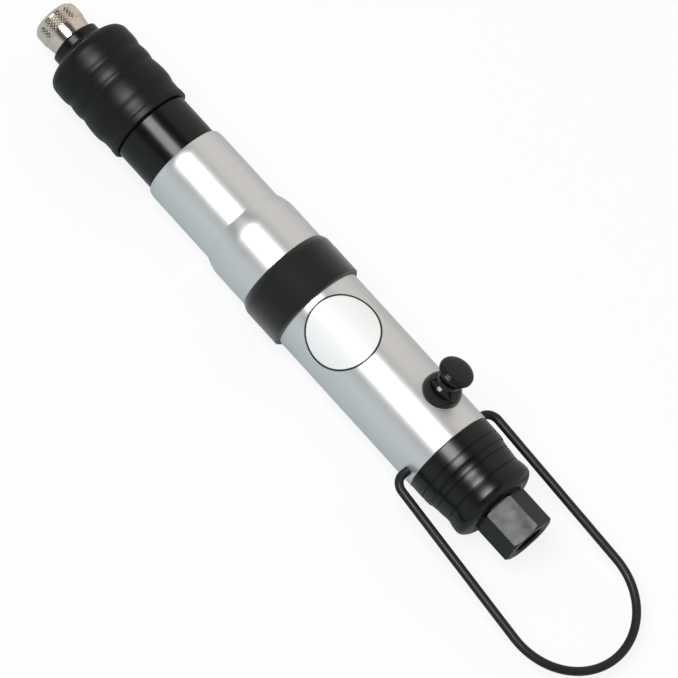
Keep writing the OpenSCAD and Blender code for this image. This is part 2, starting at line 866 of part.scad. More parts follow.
// Motor housing, with the way in for the button and the two holes of the bail
module motor_housing() {
    color("silver") difference() {
        union() {
            axial(joint_x + gap, coupling_end - joint_x, spigot_r - seat_fit);
            axial(coupling_end, motor_len, motor_r);
        }
        axial(joint_x, motor_end - joint_x + over, motor_bore_r);
        at_button() cylinder(h = motor_r + over, r = bush_stem_r + seat_fit);
        translate([bail_x, 0, 0]) rotate([90, 0, 0])
            cylinder(h = 2 * motor_r + 2 * over, r = bail_hole_r, center = true);
    }
}

module front_end_plate() {
    color("gray") difference() {
        axial(plate_front_x, plate_front_w, motor_bore_r - seat_fit);
        axial(plate_front_x - over, plate_front_w - plate_wall + over, motor_bearing_r + seat_fit);
        axial(plate_front_x, plate_front_w + over, motor_shaft_r + gap);
        dowel(seat_fit);
    }
}

// Cylinder liner: bore set off the axis, with a row of exhaust slots on its wide side
module cylinder_liner() {
    color("gray") difference() {
        axial(liner_x, liner_len, motor_bore_r - seat_fit);
        translate([0, 0, -eccentric]) axial(liner_x - over, liner_len + 2 * over, liner_bore_r);
        for (i = [0:ports_n - 1]) translate([liner_x + liner_len / 2
            + (i - (ports_n - 1) / 2) * port_pitch_share * port_len - port_w / 2, -port_len / 2, -motor_r])
            cube([port_w, port_len, motor_r]);
        dowel(seat_fit);
    }
}

module rear_end_plate() {
    color("gray") difference() {
        axial(plate_rear_x, plate_rear_w, motor_bore_r - seat_fit);
        axial(plate_rear_x + plate_wall, plate_rear_w, motor_bearing_r + seat_fit);
        axial(plate_rear_x - over, plate_rear_w + 2 * over, motor_shaft_r + gap);
        dowel(seat_fit);
    }
}

// Dowel that lines the cylinder up with both end plates
module dowel(clear) {
    translate([0, 0, dowel_circle_r])
        axial(liner_x - dowel_in - clear, liner_len + 2 * dowel_in + 2 * clear, dowel_r + clear);
}

module dowel_pin() {
    color("silver") dowel(0);
}

// Rotor: vane slots, two journals and the pinion that is the first sun gear
module rotor() {
    rotor_x = liner_x + gap;
    pinion_x = planet_1_x + gap;
    journal = plate_wall + motor_bearing_w + shaft_land;
    front_x = rotor_x - gap - journal;
    color("darkgray") difference() {
        union() {
            gear(pinion_x, ring_gear_end - pinion_x, sun_teeth);
            axial(ring_gear_end - over, front_x - ring_gear_end + 2 * over, pinion_shaft_r);
            axial(front_x, rotor_x + rotor_len - front_x + journal, motor_shaft_r);
            difference() {
                axial(rotor_x, rotor_len, rotor_r);
                around(vanes_n, 180 / vanes_n)
                    translate([rotor_x - over, -vane_t / 2 - running, slot_floor_r])
                    cube([rotor_len + 2 * over, vane_t + 2 * running, rotor_r]);
            }
        }
        axial(pinion_x - over, rotor_x + rotor_len + journal - pinion_x + 2 * over, rod_way_r);
    }
}

module vanes() {
    color("sienna") around(vanes_n, 180 / vanes_n)
        translate([liner_x + gap, -vane_t / 2, slot_floor_r + gap])
            cube([rotor_len, vane_t, rotor_r - slot_floor_r - 2 * gap]);
}

module front_bearing_inner() {
    color("silver") race_inner(front_bearing_x, motor_bearing_w, motor_shaft_r + seat_fit, motor_bearing_r);
}

module front_bearing_balls() {
    color("white") race_balls(front_bearing_x, motor_bearing_w, motor_shaft_r + seat_fit, motor_bearing_r,
        bearing_balls_n);
}

module front_bearing_outer() {
    color("silver") race_outer(front_bearing_x, motor_bearing_w, motor_shaft_r + seat_fit, motor_bearing_r);
}

module rear_bearing_inner() {
    color("silver") race_inner(rear_bearing_x, motor_bearing_w, motor_shaft_r + seat_fit, motor_bearing_r);
}

module rear_bearing_balls() {
    color("white") race_balls(rear_bearing_x, motor_bearing_w, motor_shaft_r + seat_fit, motor_bearing_r,
        bearing_balls_n);
}

module rear_bearing_outer() {
    color("silver") race_outer(rear_bearing_x, motor_bearing_w, motor_shaft_r + seat_fit, motor_bearing_r);
}

// Push rod, from just behind the bit holder to just in front of the throttle ball
module push_rod() {
    front = driver_x + pilot_len + running;
    color("silver") axial(front, throttle_ball_x - throttle_ball_r - running - front, rod_r);
}

// Turns a child that stands on the axis out towards the button
module at_button() {
    translate([button_x, 0, 0]) rotate([-button_angle, 0, 0]) children();
}

// Valve block: way for the rod, pocket for the button and air passages
module valve_block() {
    color("gray") difference() {
        axial(block_x, block_end - block_x, motor_bore_r - seat_fit);
        axial(block_x - over, block_end - block_x + 2 * over, rod_way_r);
        axial(block_x - over, motor_bearing_w / 2 + over, motor_shaft_r + 2 * gap);
        at_button() translate([0, 0, pocket_foot]) cylinder(h = motor_r, r = bush_stem_r + seat_fit);
        around(passages_n, 180 / passages_n) translate([0, 0, dowel_circle_r - 2 * dowel_r])
            axial(block_x - over, block_end - block_x + 2 * over, 2 * dowel_r);
    }
}

// Bush of the button: a dome seated on the housing and a stem through its wall
module button_bush() {
    color("black") difference() {
        union() {
            difference() {
                at_button() translate([0, 0, motor_r]) intersection() {
                    sphere(r = dome_r);
                    translate([0, 0, dome_top - dome_r])
                        cube([2 * dome_r, 2 * dome_r, 2 * dome_r], center = true);
                }
                axial(button_x - 2 * dome_r, 4 * dome_r, motor_r + seat_fit);
            }
            at_button() translate([0, 0, bush_foot])
                cylinder(h = motor_r + dome_top / 2 - bush_foot, r = bush_stem_r);
        }
        at_button() cylinder(h = motor_r + 2 * dome_r, r = button_neck_r + running);
    }
}

module reverse_button() {
    color("black") at_button() rotate_extrude() polygon(concat(
        [
            [0, button_foot],
            [button_neck_r, button_foot],
            [button_neck_r, motor_r + head_under],
            [button_r, motor_r + head_edge - head_rim / 2]
        ],
        arc(button_r - head_rim, motor_r + head_edge, head_rim, 0, 90),
        [for (i = [1:curve_steps])
            let (a = 90 * i / curve_steps)
            [(button_r - head_rim) * cos(a),
                motor_r + head_edge + head_rim + (head_top - head_edge - head_rim) * sin(a)]]
    ));
}

module button_spring() {
    color("gray") at_button() translate([0, 0, pocket_foot])
        coil(button_foot - pocket_foot, button_spring_r, button_wire_r, button_turns);
}

// Rear cap outline, shares of its length and of its front radius, and its narrow grooves
cap_shares = [
    [0, 1], [0.24, 1], [0.33, 0.993], [0.37, 0.98], [0.41, 0.961], [0.48, 0.949], [0.55, 0.94],
    [0.64, 0.924], [0.7, 0.93], [0.76, 0.947], [0.82, 0.957], [0.87, 0.955], [0.92, 0.915],
    [0.97, 0.81], [1, 0.68]
];
cap_groove_shares = [0.236, 0.378, 0.482, 0.69];
cap_groove_w = 0.8;
cap_groove_d = 0.4;

module rear_cap() {
    outer = smooth([for (p = cap_shares) [p[1] * cap_r, motor_end + p[0] * cap_len]]);
    color("black") difference() {
        turned(concat(
            [
                [throttle_seat_r + seat_fit, throttle_seat_x],
                [chamber_in_r, throttle_seat_x],
                [chamber_in_r, chamber_end],
                [chamber_r, chamber_end],
                [chamber_r, cap_spigot_x],
                [motor_bore_r - seat_fit, cap_spigot_x],
                [motor_bore_r - seat_fit, motor_end + seat_fit],
                [cap_r, motor_end + seat_fit]
            ],
            [for (i = [1:len(outer) - 1]) outer[i]],
            [
                [stem_r + seat_fit, cap_end],
                [stem_r + seat_fit, cap_end - stem_len],
                [valve_bore_r, cap_end - stem_len],
                [valve_bore_r, throttle_seat_x + throttle_seat_w],
                [throttle_seat_r + seat_fit, throttle_seat_x + throttle_seat_w]
            ]
        ));
        for (s = cap_groove_shares) axial_tube(motor_end + s * cap_len - cap_groove_w / 2, cap_groove_w,
            cap_r + over, cap_r * lookup(s, cap_shares) - cap_groove_d);
    }
}

// Throttle: seat ring, ball held against it by its spring, and pushed off by the rod
module throttle_seat() {
    color("peru") axial_tube(throttle_seat_x, throttle_seat_w, throttle_seat_r, throttle_hole_r);
}

module throttle_ball() {
    color("silver") translate([throttle_ball_x, 0, 0]) sphere(r = throttle_ball_r);
}

module throttle_spring() {
    mean_r = throttle_ball_r - throttle_wire_r / 2;
    reach = throttle_ball_r + throttle_wire_r + gap;
    start = throttle_ball_x + sqrt(reach * reach - mean_r * mean_r) - throttle_wire_r;
    color("gray") axial_coil(start, cap_end - stem_len - start, mean_r,
        throttle_wire_r, throttle_turns);
}

module exhaust_muffler() {
    color("tan") axial_tube(chamber_end - muffler_w, muffler_w,
        chamber_r - seat_fit, chamber_in_r + seat_fit);
}

// Air inlet: hexagon with turned corners, stem into the cap and threaded bore
module inlet_bushing() {
    corner_r = hex_af / sqrt(3);
    color("dimgray") difference() {
        union() {
            intersection() {
                axial_hex(cap_end, hex_len, hex_af);
                turned([
                    [0, cap_end],
                    [corner_r - hex_chamfer, cap_end],
                    [corner_r, cap_end + hex_chamfer * tan(chamfer_angle)],
                    [corner_r, hex_end - hex_chamfer * tan(chamfer_angle)],
                    [corner_r - hex_chamfer, hex_end],
                    [0, hex_end]
                ]);
            }
            axial(cap_end - stem_len, stem_len + over, stem_r);
        }
        axial(hex_end - inlet_depth, inlet_depth + over, inlet_r);
        axial(cap_end - stem_len - over, cap_len, inlet_hole_r);
        axial(hex_end - inlet_depth - screen_w, screen_w + over, screen_r + seat_fit);
        turned([
            [0, hex_end + over],
            [inlet_r + hex_chamfer / 2 + over, hex_end + over],
            [inlet_r - over, hex_end - hex_chamfer / 2 - over],
            [0, hex_end - hex_chamfer / 2 - over]
        ]);
    }
}

module inlet_screen() {
    color("silver") axial_tube(hex_end - inlet_depth - screen_w, screen_w, screen_r, inlet_hole_r / 2);
}

// One straight run of the bail wire between two places, lapped into the bends it meets
module wire(a, b, lap_a) {
    v = b - a;
    len = norm(v);
    translate(a) rotate([0, acos(v.z / len), atan2(v.y, v.x)]) translate([0, 0, -lap_a])
        cylinder(h = len + lap_a + gap, r = wire_r);
}

// Bail: turned-in ends, bends, splayed legs and a round end that the legs run into
module bail() {
    end_x = bail_len - bail_end_w;
    splay = asin(bail_end_w / norm([bail_w, end_x])) - atan2(bail_w, end_x);
    turn = 90 - splay;
    run = bail_bend_r * tan(turn / 2);
    color("black") translate([bail_x, 0, 0]) rotate([0, bail_droop, 0]) union() {
        bail_leg(end_x, splay, turn, run);
        mirror([0, 1, 0]) bail_leg(end_x, splay, turn, run);
        translate([end_x, 0, 0]) rotate(-90 - splay) rotate_extrude(angle = 180 + 2 * splay)
            translate([bail_end_w, 0]) circle(r = wire_r * bend_share);
    }
}

module bail_leg(end_x, splay, turn, run) {
    wire([0, bail_tip, 0], [0, bail_w - run, 0], 0);
    translate([bail_bend_r, bail_w - run, 0]) rotate(180 - turn) rotate_extrude(angle = turn)
        translate([bail_bend_r, 0]) circle(r = wire_r * bend_share);
    wire([run * cos(splay), bail_w + run * sin(splay), 0],
        [end_x - bail_end_w * sin(splay), bail_end_w * cos(splay), 0], gap);
}

bit_collar();
collar_spring();
collar_retaining_ring();
retaining_balls();
bit_holder();
nose_bush();
clutch_tube();
torque_sleeve();
sleeve_bush();
adjusting_nut();
adjusting_pins();
spring_seat();
clutch_spring();
thrust_washer();
cam_plate();
clutch_balls();
output_shaft();
output_bearing_inner();
output_bearing_balls();
output_bearing_outer();
gear_housing();
ring_gear();
gear_case_plate();
planet_2_a();
planet_2_b();
planet_2_c();
planet_pins_2();
carrier_1();
planet_1_a();
planet_1_b();
planet_1_c();
planet_pins_1();
coupling_ring();
motor_housing();
front_end_plate();
cylinder_liner();
rear_end_plate();
dowel_pin();
rotor();
vanes();
front_bearing_inner();
front_bearing_balls();
front_bearing_outer();
rear_bearing_inner();
rear_bearing_balls();
rear_bearing_outer();
push_rod();
valve_block();
button_bush();
reverse_button();
button_spring();
rear_cap();
throttle_seat();
throttle_ball();
throttle_spring();
exhaust_muffler();
inlet_bushing();
inlet_screen();
bail();
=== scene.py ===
"""Finishes, fine detail, light and camera for the straight pneumatic screwdriver."""
import math

import bmesh
import bpy
from mathutils import Matrix, Vector


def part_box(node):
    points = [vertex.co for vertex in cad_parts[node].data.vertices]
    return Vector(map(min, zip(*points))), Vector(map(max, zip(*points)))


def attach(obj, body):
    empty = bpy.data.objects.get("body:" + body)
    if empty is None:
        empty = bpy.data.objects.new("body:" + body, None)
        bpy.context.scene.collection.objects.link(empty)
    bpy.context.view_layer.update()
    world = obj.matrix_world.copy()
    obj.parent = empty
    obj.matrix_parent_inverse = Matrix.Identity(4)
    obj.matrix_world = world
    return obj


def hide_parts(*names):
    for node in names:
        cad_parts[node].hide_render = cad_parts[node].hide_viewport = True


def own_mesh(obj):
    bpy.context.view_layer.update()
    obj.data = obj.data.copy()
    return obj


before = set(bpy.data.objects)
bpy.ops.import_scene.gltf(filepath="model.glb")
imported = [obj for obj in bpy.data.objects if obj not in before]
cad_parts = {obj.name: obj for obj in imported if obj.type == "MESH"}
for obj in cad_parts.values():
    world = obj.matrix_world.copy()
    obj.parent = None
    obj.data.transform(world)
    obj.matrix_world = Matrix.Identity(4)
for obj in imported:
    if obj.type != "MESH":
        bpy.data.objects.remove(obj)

for name in ("Cube", "Light", "Camera"):
    if name in bpy.data.objects:
        bpy.data.objects.remove(bpy.data.objects[name])
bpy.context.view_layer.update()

MM = 0.001
TAU = 2 * math.pi

# The gap between two faces that meet, and the usual rounding of an edge
SEAM = 0.03 * MM
EDGE = 0.25 * MM

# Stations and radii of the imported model. The tool's axis is X, with the bit end at zero.
AXIS = Vector((1, 0, 0))
NODES = {name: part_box(name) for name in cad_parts}


def front(name):
    return NODES[name][0].x


def rear(name):
    return NODES[name][1].x


def radius(name):
    return NODES[name][1].z


COLLAR_X = front("bit_collar")
NOSE_X = front("clutch_tube")
SLEEVE_X = front("torque_sleeve")
SLEEVE_END = rear("torque_sleeve")
TUBE_END = front("gear_housing")
GEAR_END = front("coupling_ring")
COUPLING_END = rear("coupling_ring")
MOTOR_END = rear("motor_housing")
CAP_END = rear("rear_cap")
HEX_END = rear("inlet_bushing")
COLLAR_R = radius("bit_collar")
SLEEVE_R = radius("torque_sleeve")
TUBE_R = radius("clutch_tube")
SHOULDER_R = radius("gear_housing")
COUPLING_R = radius("coupling_ring")
MOTOR_R = radius("motor_housing")
CAP_R = radius("rear_cap")
KNURL_DEPTH = 0.3 * MM

BAIL_X = MOTOR_END - 3.3 * MM
BUTTON_X = MOTOR_END - 15.7 * MM
BUTTON_ANGLE = math.radians(13)
BUTTON_OUT = Vector((0, math.sin(BUTTON_ANGLE), math.cos(BUTTON_ANGLE)))
# Turns a piece made along X onto the button's own axis
AT_BUTTON = (Matrix.Translation((BUTTON_X, 0, 0)) @ Matrix.Rotation(-BUTTON_ANGLE, 4, "X")
             @ Matrix.Rotation(-math.pi / 2, 4, "Y"))


# Node trees

class Val:
    """A number in a node tree. Arithmetic on it adds Math nodes."""

    def __init__(self, home, socket):
        self.home = home
        self.socket = socket

    def __add__(self, other):
        return self.home.math("ADD", self, other)

    def __radd__(self, other):
        return self.home.math("ADD", other, self)

    def __sub__(self, other):
        return self.home.math("SUBTRACT", self, other)

    def __rsub__(self, other):
        return self.home.math("SUBTRACT", other, self)

    def __mul__(self, other):
        return self.home.math("MULTIPLY", self, other)

    def __rmul__(self, other):
        return self.home.math("MULTIPLY", other, self)

    def __truediv__(self, other):
        return self.home.math("DIVIDE", self, other)

    def __rtruediv__(self, other):
        return self.home.math("DIVIDE", other, self)

    def ramp(self, low, high):
        """Smooth rise from 0 at low to 1 at high."""
        return self.home.node("ShaderNodeMapRange", {"interpolation_type": "SMOOTHSTEP"},
                              {"Value": self, "From Min": low, "From Max": high})


class Tree:
    """A node tree that starts empty."""

    def __init__(self, tree):
        self.tree = tree
        self.tree.nodes.clear()

    def add(self, kind, settings=None, inputs=None):
        """Adds a node: its settings first, then the values and links of its sockets."""
        node = self.tree.nodes.new(kind)
        for key, value in (settings or {}).items():
            setattr(node, key, value)
        for key, value in (inputs or {}).items():
            if isinstance(value, Val):
                self.tree.links.new(value.socket, node.inputs[key])
            else:
                node.inputs[key].default_value = value
        return node

    def node(self, kind, settings=None, inputs=None, out=0):
        """Adds a node and gives one of its outputs."""
        return Val(self, self.add(kind, settings, inputs).outputs[out])

    def math(self, operation, a, b=0.0):
        return self.node("ShaderNodeMath", {"operation": operation}, {0: a, 1: b})


class Finish(Tree):
    """The shader of a material, or of the world, where a place is a direction."""

    def __init__(self, owner, coordinates="Object"):
        owner.use_nodes = True
        super().__init__(owner.node_tree)
        self.owner = owner
        self.place = self.node("ShaderNodeTexCoord", out=coordinates)

    def mix(self, factor, a, b):
        """A colour between a and b."""
        return self.node("ShaderNodeMix", {"data_type": "RGBA"},
                         {"Factor": factor, 6: a, 7: b}, out=2)

    def toward(self, direction):
        """How far the place lies along a direction."""
        return self.node("ShaderNodeVectorMath", {"operation": "DOT_PRODUCT"},
                         {0: self.place, 1: tuple(direction)}, out=1)

    def noise(self, x, y, z, detail=3.0, rough=0.5):
        """Noise of 0 to 1 with so many cycles per millimetre along each axis."""
        stretched = self.node("ShaderNodeVectorMath", {"operation": "MULTIPLY"},
                              {0: self.place, 1: (x / MM, y / MM, z / MM)})
        return self.node("ShaderNodeTexNoise", {"noise_dimensions": "3D"},
                         {"Vector": stretched, "Scale": 1.0, "Detail": detail,
                          "Roughness": rough})

    def bump(self, height, depth):
        """Normal bent by a height of 0 to 1, depth in millimetres."""
        return self.node("ShaderNodeBump", None,
                         {"Height": height, "Strength": 1.0, "Distance": depth * MM})

    def surface(self, **inputs):
        """Ends the tree with one shader and gives the material."""
        names = {"color": "Base Color", "rough": "Roughness", "metal": "Metallic",
                 "normal": "Normal", "level": "Specular IOR Level", "sheen": "Sheen Weight"}
        shader = self.node("ShaderNodeBsdfPrincipled", None,
                           {names[k]: v for k, v in inputs.items()})
        self.add("ShaderNodeOutputMaterial", None, {0: shader})
        return self.owner


def grey(level, warm=0.0):
    """A colour of one level, a little warmer or cooler."""
    return (level * (1 + warm), level, level * (1 - warm), 1.0)


# Finishes

def turned_metal(name, base, rough, line_depth, warm=0.0, metal=1.0):
    """Bright metal from the lathe: fine rings, cloudy sheen, faint handling marks."""
    f = Finish(bpy.data.materials.new(name))
    rings = f.noise(9.0, 0.02, 0.02, detail=4.0, rough=0.7)
    cloud = f.noise(0.05, 0.12, 0.12, detail=2.0)
    marks = f.noise(0.35, 1.9, 1.9, detail=5.0, rough=0.65).ramp(0.56, 0.72)
    tone = f.mix(cloud, grey(base * 0.95, warm), grey(base, warm))
    return f.surface(
        color=f.mix(marks * 0.25, tone, grey(base * 0.86, warm)),
        metal=metal,
        rough=rough + (cloud - 0.5) * 0.06 + marks * 0.04,
        normal=f.bump(rings, line_depth))


def black_skin(name, base, rough, level, grain, grain_depth, wear=0.0, sheen=0.0):
    """Black finish with a fine grain, faint dust in it, and a little rubbing."""
    f = Finish(bpy.data.materials.new(name))
    skin = f.noise(grain, grain, grain, detail=3.0, rough=0.6)
    cloud = f.noise(0.06, 0.1, 0.1, detail=3.0)
    dust = f.noise(0.9, 0.9, 0.9, detail=6.0, rough=0.75).ramp(0.6, 0.8)
    tone = f.mix(cloud, grey(base * 0.8, -0.02), grey(base * 1.2, 0.03))
    return f.surface(
        color=f.mix(dust * wear, tone, grey(base * 3 + 0.02)),
        rough=rough + (cloud - 0.5) * 0.08 + dust * 0.05,
        level=level,
        sheen=sheen,
        normal=f.bump(skin, grain_depth))


def oxide_steel(name, base, rough):
    """Blackened steel: blue-black film over ground metal, thinner in patches."""
    f = Finish(bpy.data.materials.new(name))
    grind = f.noise(0.25, 5.0, 5.0, detail=4.0, rough=0.7)
    cloud = f.noise(0.16, 0.16, 0.16, detail=4.0)
    thin = cloud.ramp(0.52, 0.78)
    return f.surface(
        color=f.mix(thin, grey(base, -0.03), grey(base * 2.6, 0.05)),
        metal=thin * 0.35,
        rough=rough + (grind - 0.5) * 0.12 + (cloud - 0.5) * 0.35,
        level=0.42,
        normal=f.bump(grind, 0.006))


def plain_part(name, color, rough, metal, line=6.0):
    """Inner parts: machined or moulded stock with fine lines and a cloudy tone."""
    f = Finish(bpy.data.materials.new(name))
    rings = f.noise(line, line * 0.1, line * 0.1, detail=3.0)
    cloud = f.noise(0.2, 0.2, 0.2, detail=3.0)
    dark = tuple(c * 0.8 for c in color)
    return f.surface(
        color=f.mix(cloud, (*dark, 1.0), (*color, 1.0)),
        metal=metal,
        rough=rough + (rings - 0.5) * 0.1,
        normal=f.bump(rings, 0.004))


def paper_white(name):
    """White label: smooth film with the faintest mottle."""
    f = Finish(bpy.data.materials.new(name))
    fibre = f.noise(2.5, 2.5, 2.5, detail=4.0)
    return f.surface(
        color=f.mix(fibre, grey(0.88), grey(0.94)),
        rough=0.42 + (fibre - 0.5) * 0.1,
        normal=f.bump(fibre, 0.004))


FINISHES = {
    "satin_aluminium": turned_metal(
        "satin_aluminium_finish", base=0.86, rough=0.335, line_depth=0.0030, metal=0.8),
    "nickel": turned_metal(
        "nickel_finish", base=0.82, rough=0.11, line_depth=0.0015, warm=0.12, metal=0.97),
    "black_satin": black_skin(
        "black_satin_finish", base=0.003, rough=0.22, level=0.40, grain=3.0,
        grain_depth=0.002, wear=0.04),
    "cap_black": black_skin(
        "cap_black_finish", base=0.004, rough=0.28, level=0.42, grain=3.0,
        grain_depth=0.003, wear=0.05),
    "black_matte": black_skin(
        "black_matte_finish", base=0.006, rough=0.38, level=0.28, grain=5.0,
        grain_depth=0.010, wear=0.10),
    "black_gloss": black_skin(
        "black_gloss_finish", base=0.003, rough=0.13, level=0.5, grain=2.0,
        grain_depth=0.001, wear=0.03),
    "ring_black": black_skin(
        "ring_black_finish", base=0.008, rough=0.6, level=0.12, grain=4.0,
        grain_depth=0.004, wear=0.06, sheen=0.45),
    "black_oxide": oxide_steel("black_oxide_finish", base=0.007, rough=0.38),
    "bail_black": oxide_steel("bail_black_finish", base=0.008, rough=0.42),
    "bronze": plain_part("bronze_finish", (0.52, 0.33, 0.16), rough=0.35, metal=1.0),
    "vane_fibre": plain_part("vane_fibre_finish", (0.22, 0.12, 0.06), rough=0.7, metal=0.0),
    "felt": plain_part("felt_finish", (0.42, 0.38, 0.30), rough=0.9, metal=0.0, line=2.0),
    "plain_aluminium": plain_part(
        "plain_aluminium_finish", (0.70, 0.70, 0.70), rough=0.34, metal=1.0),
    "steel": plain_part("steel_finish", (0.56, 0.56, 0.57), rough=0.22, metal=1.0),
    "label_white": paper_white("label_white_finish"),
    "label_edge": black_skin(
        "label_edge_finish", base=0.02, rough=0.4, level=0.5, grain=4.0, grain_depth=0.002),
}


def node_slot(name):
    """The record's material slot of a CAD node."""
    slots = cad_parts[name].material_slots
    return slots[0].material.name.split(".")[0]


SLOT_OF = {name: node_slot(name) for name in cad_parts}
for name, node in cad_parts.items():
    for slot in node.material_slots:
        slot.material = FINISHES[SLOT_OF[name]]


# Mesh helpers

def linked(name, data):
    """An object in the scene that holds the data."""
    thing = bpy.data.objects.new(name, data)
    bpy.context.scene.collection.objects.link(thing)
    return thing


def piece(name, mesh, finish, body, replaces=(), sharp=35):
    """Makes a mesh into a piece of one finish that rides on a body.

    Its slot in the record has the finish's name unless another is given. Edges sharper than so
    Edges sharper than so many degrees are shaded sharp.
    """
    for polygon in mesh.polygons:
        polygon.use_smooth = True
    mesh.set_sharp_from_angle(angle=math.radians(sharp))
    mesh.materials.clear()
    mesh.materials.append(FINISHES[finish])
    thing = linked(name, mesh)
    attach(thing, body)
    if replaces:
        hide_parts(*replaces)
    return thing


def outward_mesh(bm, name):
    """A plain mesh of what bm holds, faces outwards."""
    bmesh.ops.recalc_face_normals(bm, faces=bm.faces)
    mesh = bpy.data.meshes.new(name)
    bm.to_mesh(mesh)
    bm.free()
    return mesh


def evaluated(body, *helpers):
    """The plain mesh of an object after its modifiers. It and its helpers are removed."""
    bpy.context.view_layer.update()
    graph = bpy.context.evaluated_depsgraph_get()
    mesh = bpy.data.meshes.new_from_object(body.evaluated_get(graph))
    for thing in (*helpers, body):
        bpy.data.objects.remove(thing)
    return mesh


def around(x, r, angle):
    """The point at a station, a radius and an angle round the tool's axis."""
    return Vector((x, r * math.sin(angle), r * math.cos(angle)))


def angles(steps, whole=math.pi / 2, first=0):
    """The angles from 0 to the whole, from the first step on."""
    return [whole * k / steps for k in range(first, steps + 1)]


def eased(outline, ease):
    """The closed outline with its corners rounded.

    A point is (station, radius), or (station, radius, ease) where it has a rounding of its own,
    and 0 keeps it as it is.
    """
    flattest = math.radians(80)
    longest = 0.45
    steps = 5
    out = []
    for i, point in enumerate(outline):
        here = Vector(point[:2])
        want = point[2] if len(point) > 2 else ease
        before = Vector(outline[i - 1][:2]) - here
        after = Vector(outline[(i + 1) % len(outline)][:2]) - here
        half = before.angle(after, math.pi) / 2
        if not want or half > flattest:
            out.append(here)
            continue
        reach = min(want / math.tan(half), before.length * longest, after.length * longest)
        r = reach * math.tan(half)
        before.normalize()
        after.normalize()
        middle = here + (before + after).normalized() * (r / math.sin(half))
        a = here + before * reach - middle
        b = here + after * reach - middle
        turn = a.angle(b)
        for k in range(steps + 1):
            share = k / steps
            out.append(middle + (a * math.sin(turn * (1 - share)) + b * math.sin(turn * share))
                       / math.sin(turn))
    return out


def smooth_run(points, steps=8):
    """A Catmull-Rom curve through (station, radius) points."""
    out = []
    for i in range(len(points) - 1):
        a = Vector(points[max(i - 1, 0)])
        b = Vector(points[i])
        c = Vector(points[i + 1])
        d = Vector(points[min(i + 2, len(points) - 1)])
        for k in range(steps):
            t = k / steps
            out.append(0.5 * ((2 * b) + (c - a) * t + (2 * a - 5 * b + 4 * c - d) * t ** 2
                              + (3 * b - a - 3 * c + d) * t ** 3))
    out.append(Vector(points[-1]))
    return [(p.x, p.y, 0) for p in out]


def with_guards(outline, reach=0.12 * MM):
    """The outline with a point just inside each end of every long straight run."""
    shortest = 6 * reach
    out = []
    for (x, r), (next_x, next_r) in zip(outline, outline[1:] + outline[:1]):
        out.append((x, r))
        length = math.hypot(next_x - x, next_r - r)
        if length > shortest:
            for share in (reach / length, 1 - reach / length):
                out.append((x + (next_x - x) * share, r + (next_r - r) * share))
    return out


def band(bm, ring, following):
    """A band of faces between two rings. A ring may be one point, repeated."""
    for k in range(len(ring)):
        m = (k + 1) % len(ring)
        bm.faces.new(tuple(dict.fromkeys((ring[k], ring[m], following[m], following[k]))))


def lathe(outline, segments=160):
    """A closed outline of (station, radius) turned round the axis.

    The guards keep the shading of an edge at the edge.
    """
    same = 0.0005 * MM
    bm = bmesh.new()
    rings = [[bm.verts.new(around(x, r, TAU * k / segments)) for k in range(segments)]
             for x, r in with_guards(outline)]
    for ring, following in zip(rings, rings[1:] + rings[:1]):
        band(bm, ring, following)
    bmesh.ops.remove_doubles(bm, verts=bm.verts, dist=same)
    return outward_mesh(bm, "turned")


def rod(r, start, end, segments=48):
    """A cylinder between two points."""
    bm = bmesh.new()
    span = end - start
    turn = span.to_track_quat("Z", "Y").to_matrix().to_4x4()
    bmesh.ops.create_cone(bm, cap_ends=True, segments=segments, radius1=r, radius2=r,
                          depth=span.length, matrix=Matrix.Translation((start + end) / 2) @ turn)
    return outward_mesh(bm, "rod")


def prism(outline, place, depth):
    """A flat outline in X and Y raised along Z, then put in place."""
    bm = bmesh.new()
    low = [bm.verts.new((x, y, 0)) for x, y in outline]
    high = [bm.verts.new((x, y, depth)) for x, y in outline]
    bm.faces.new(low)
    bm.faces.new(high)
    band(bm, low, high)
    bmesh.ops.transform(bm, matrix=place, verts=bm.verts)
    return outward_mesh(bm, "prism")


def moved(mesh, place):
    mesh.transform(place)
    return mesh


def welded(mesh, reach=0.002 * MM):
    """The mesh without the slivers that cuts and rounding leave."""
    bm = bmesh.new()
    bm.from_mesh(mesh)
    bmesh.ops.remove_doubles(bm, verts=bm.verts, dist=reach)
    bmesh.ops.dissolve_degenerate(bm, edges=bm.edges, dist=reach)
    bm.to_mesh(mesh)
    bm.free()
    return mesh


def shaped(mesh, *steps):
    """The mesh after boolean steps, each an operation and the mesh that it uses."""
    stock = linked("stock", mesh)
    cutters = []
    for operation, other in steps:
        cutters.append(linked("cutter", other))
        step = stock.modifiers.new(operation.lower(), "BOOLEAN")
        step.operation = operation
        step.solver = "EXACT"
        step.object = cutters[-1]
    return welded(evaluated(stock, *cutters))


def bevelled(mesh, width, segments=3, angle=25):
    """The mesh with its edges sharper than so many degrees rounded."""
    stock = linked("stock", mesh)
    bevel = stock.modifiers.new("round", "BEVEL")
    bevel.width = width
    bevel.segments = segments
    bevel.limit_method = "ANGLE"
    bevel.angle_limit = math.radians(angle)
    return welded(evaluated(stock))


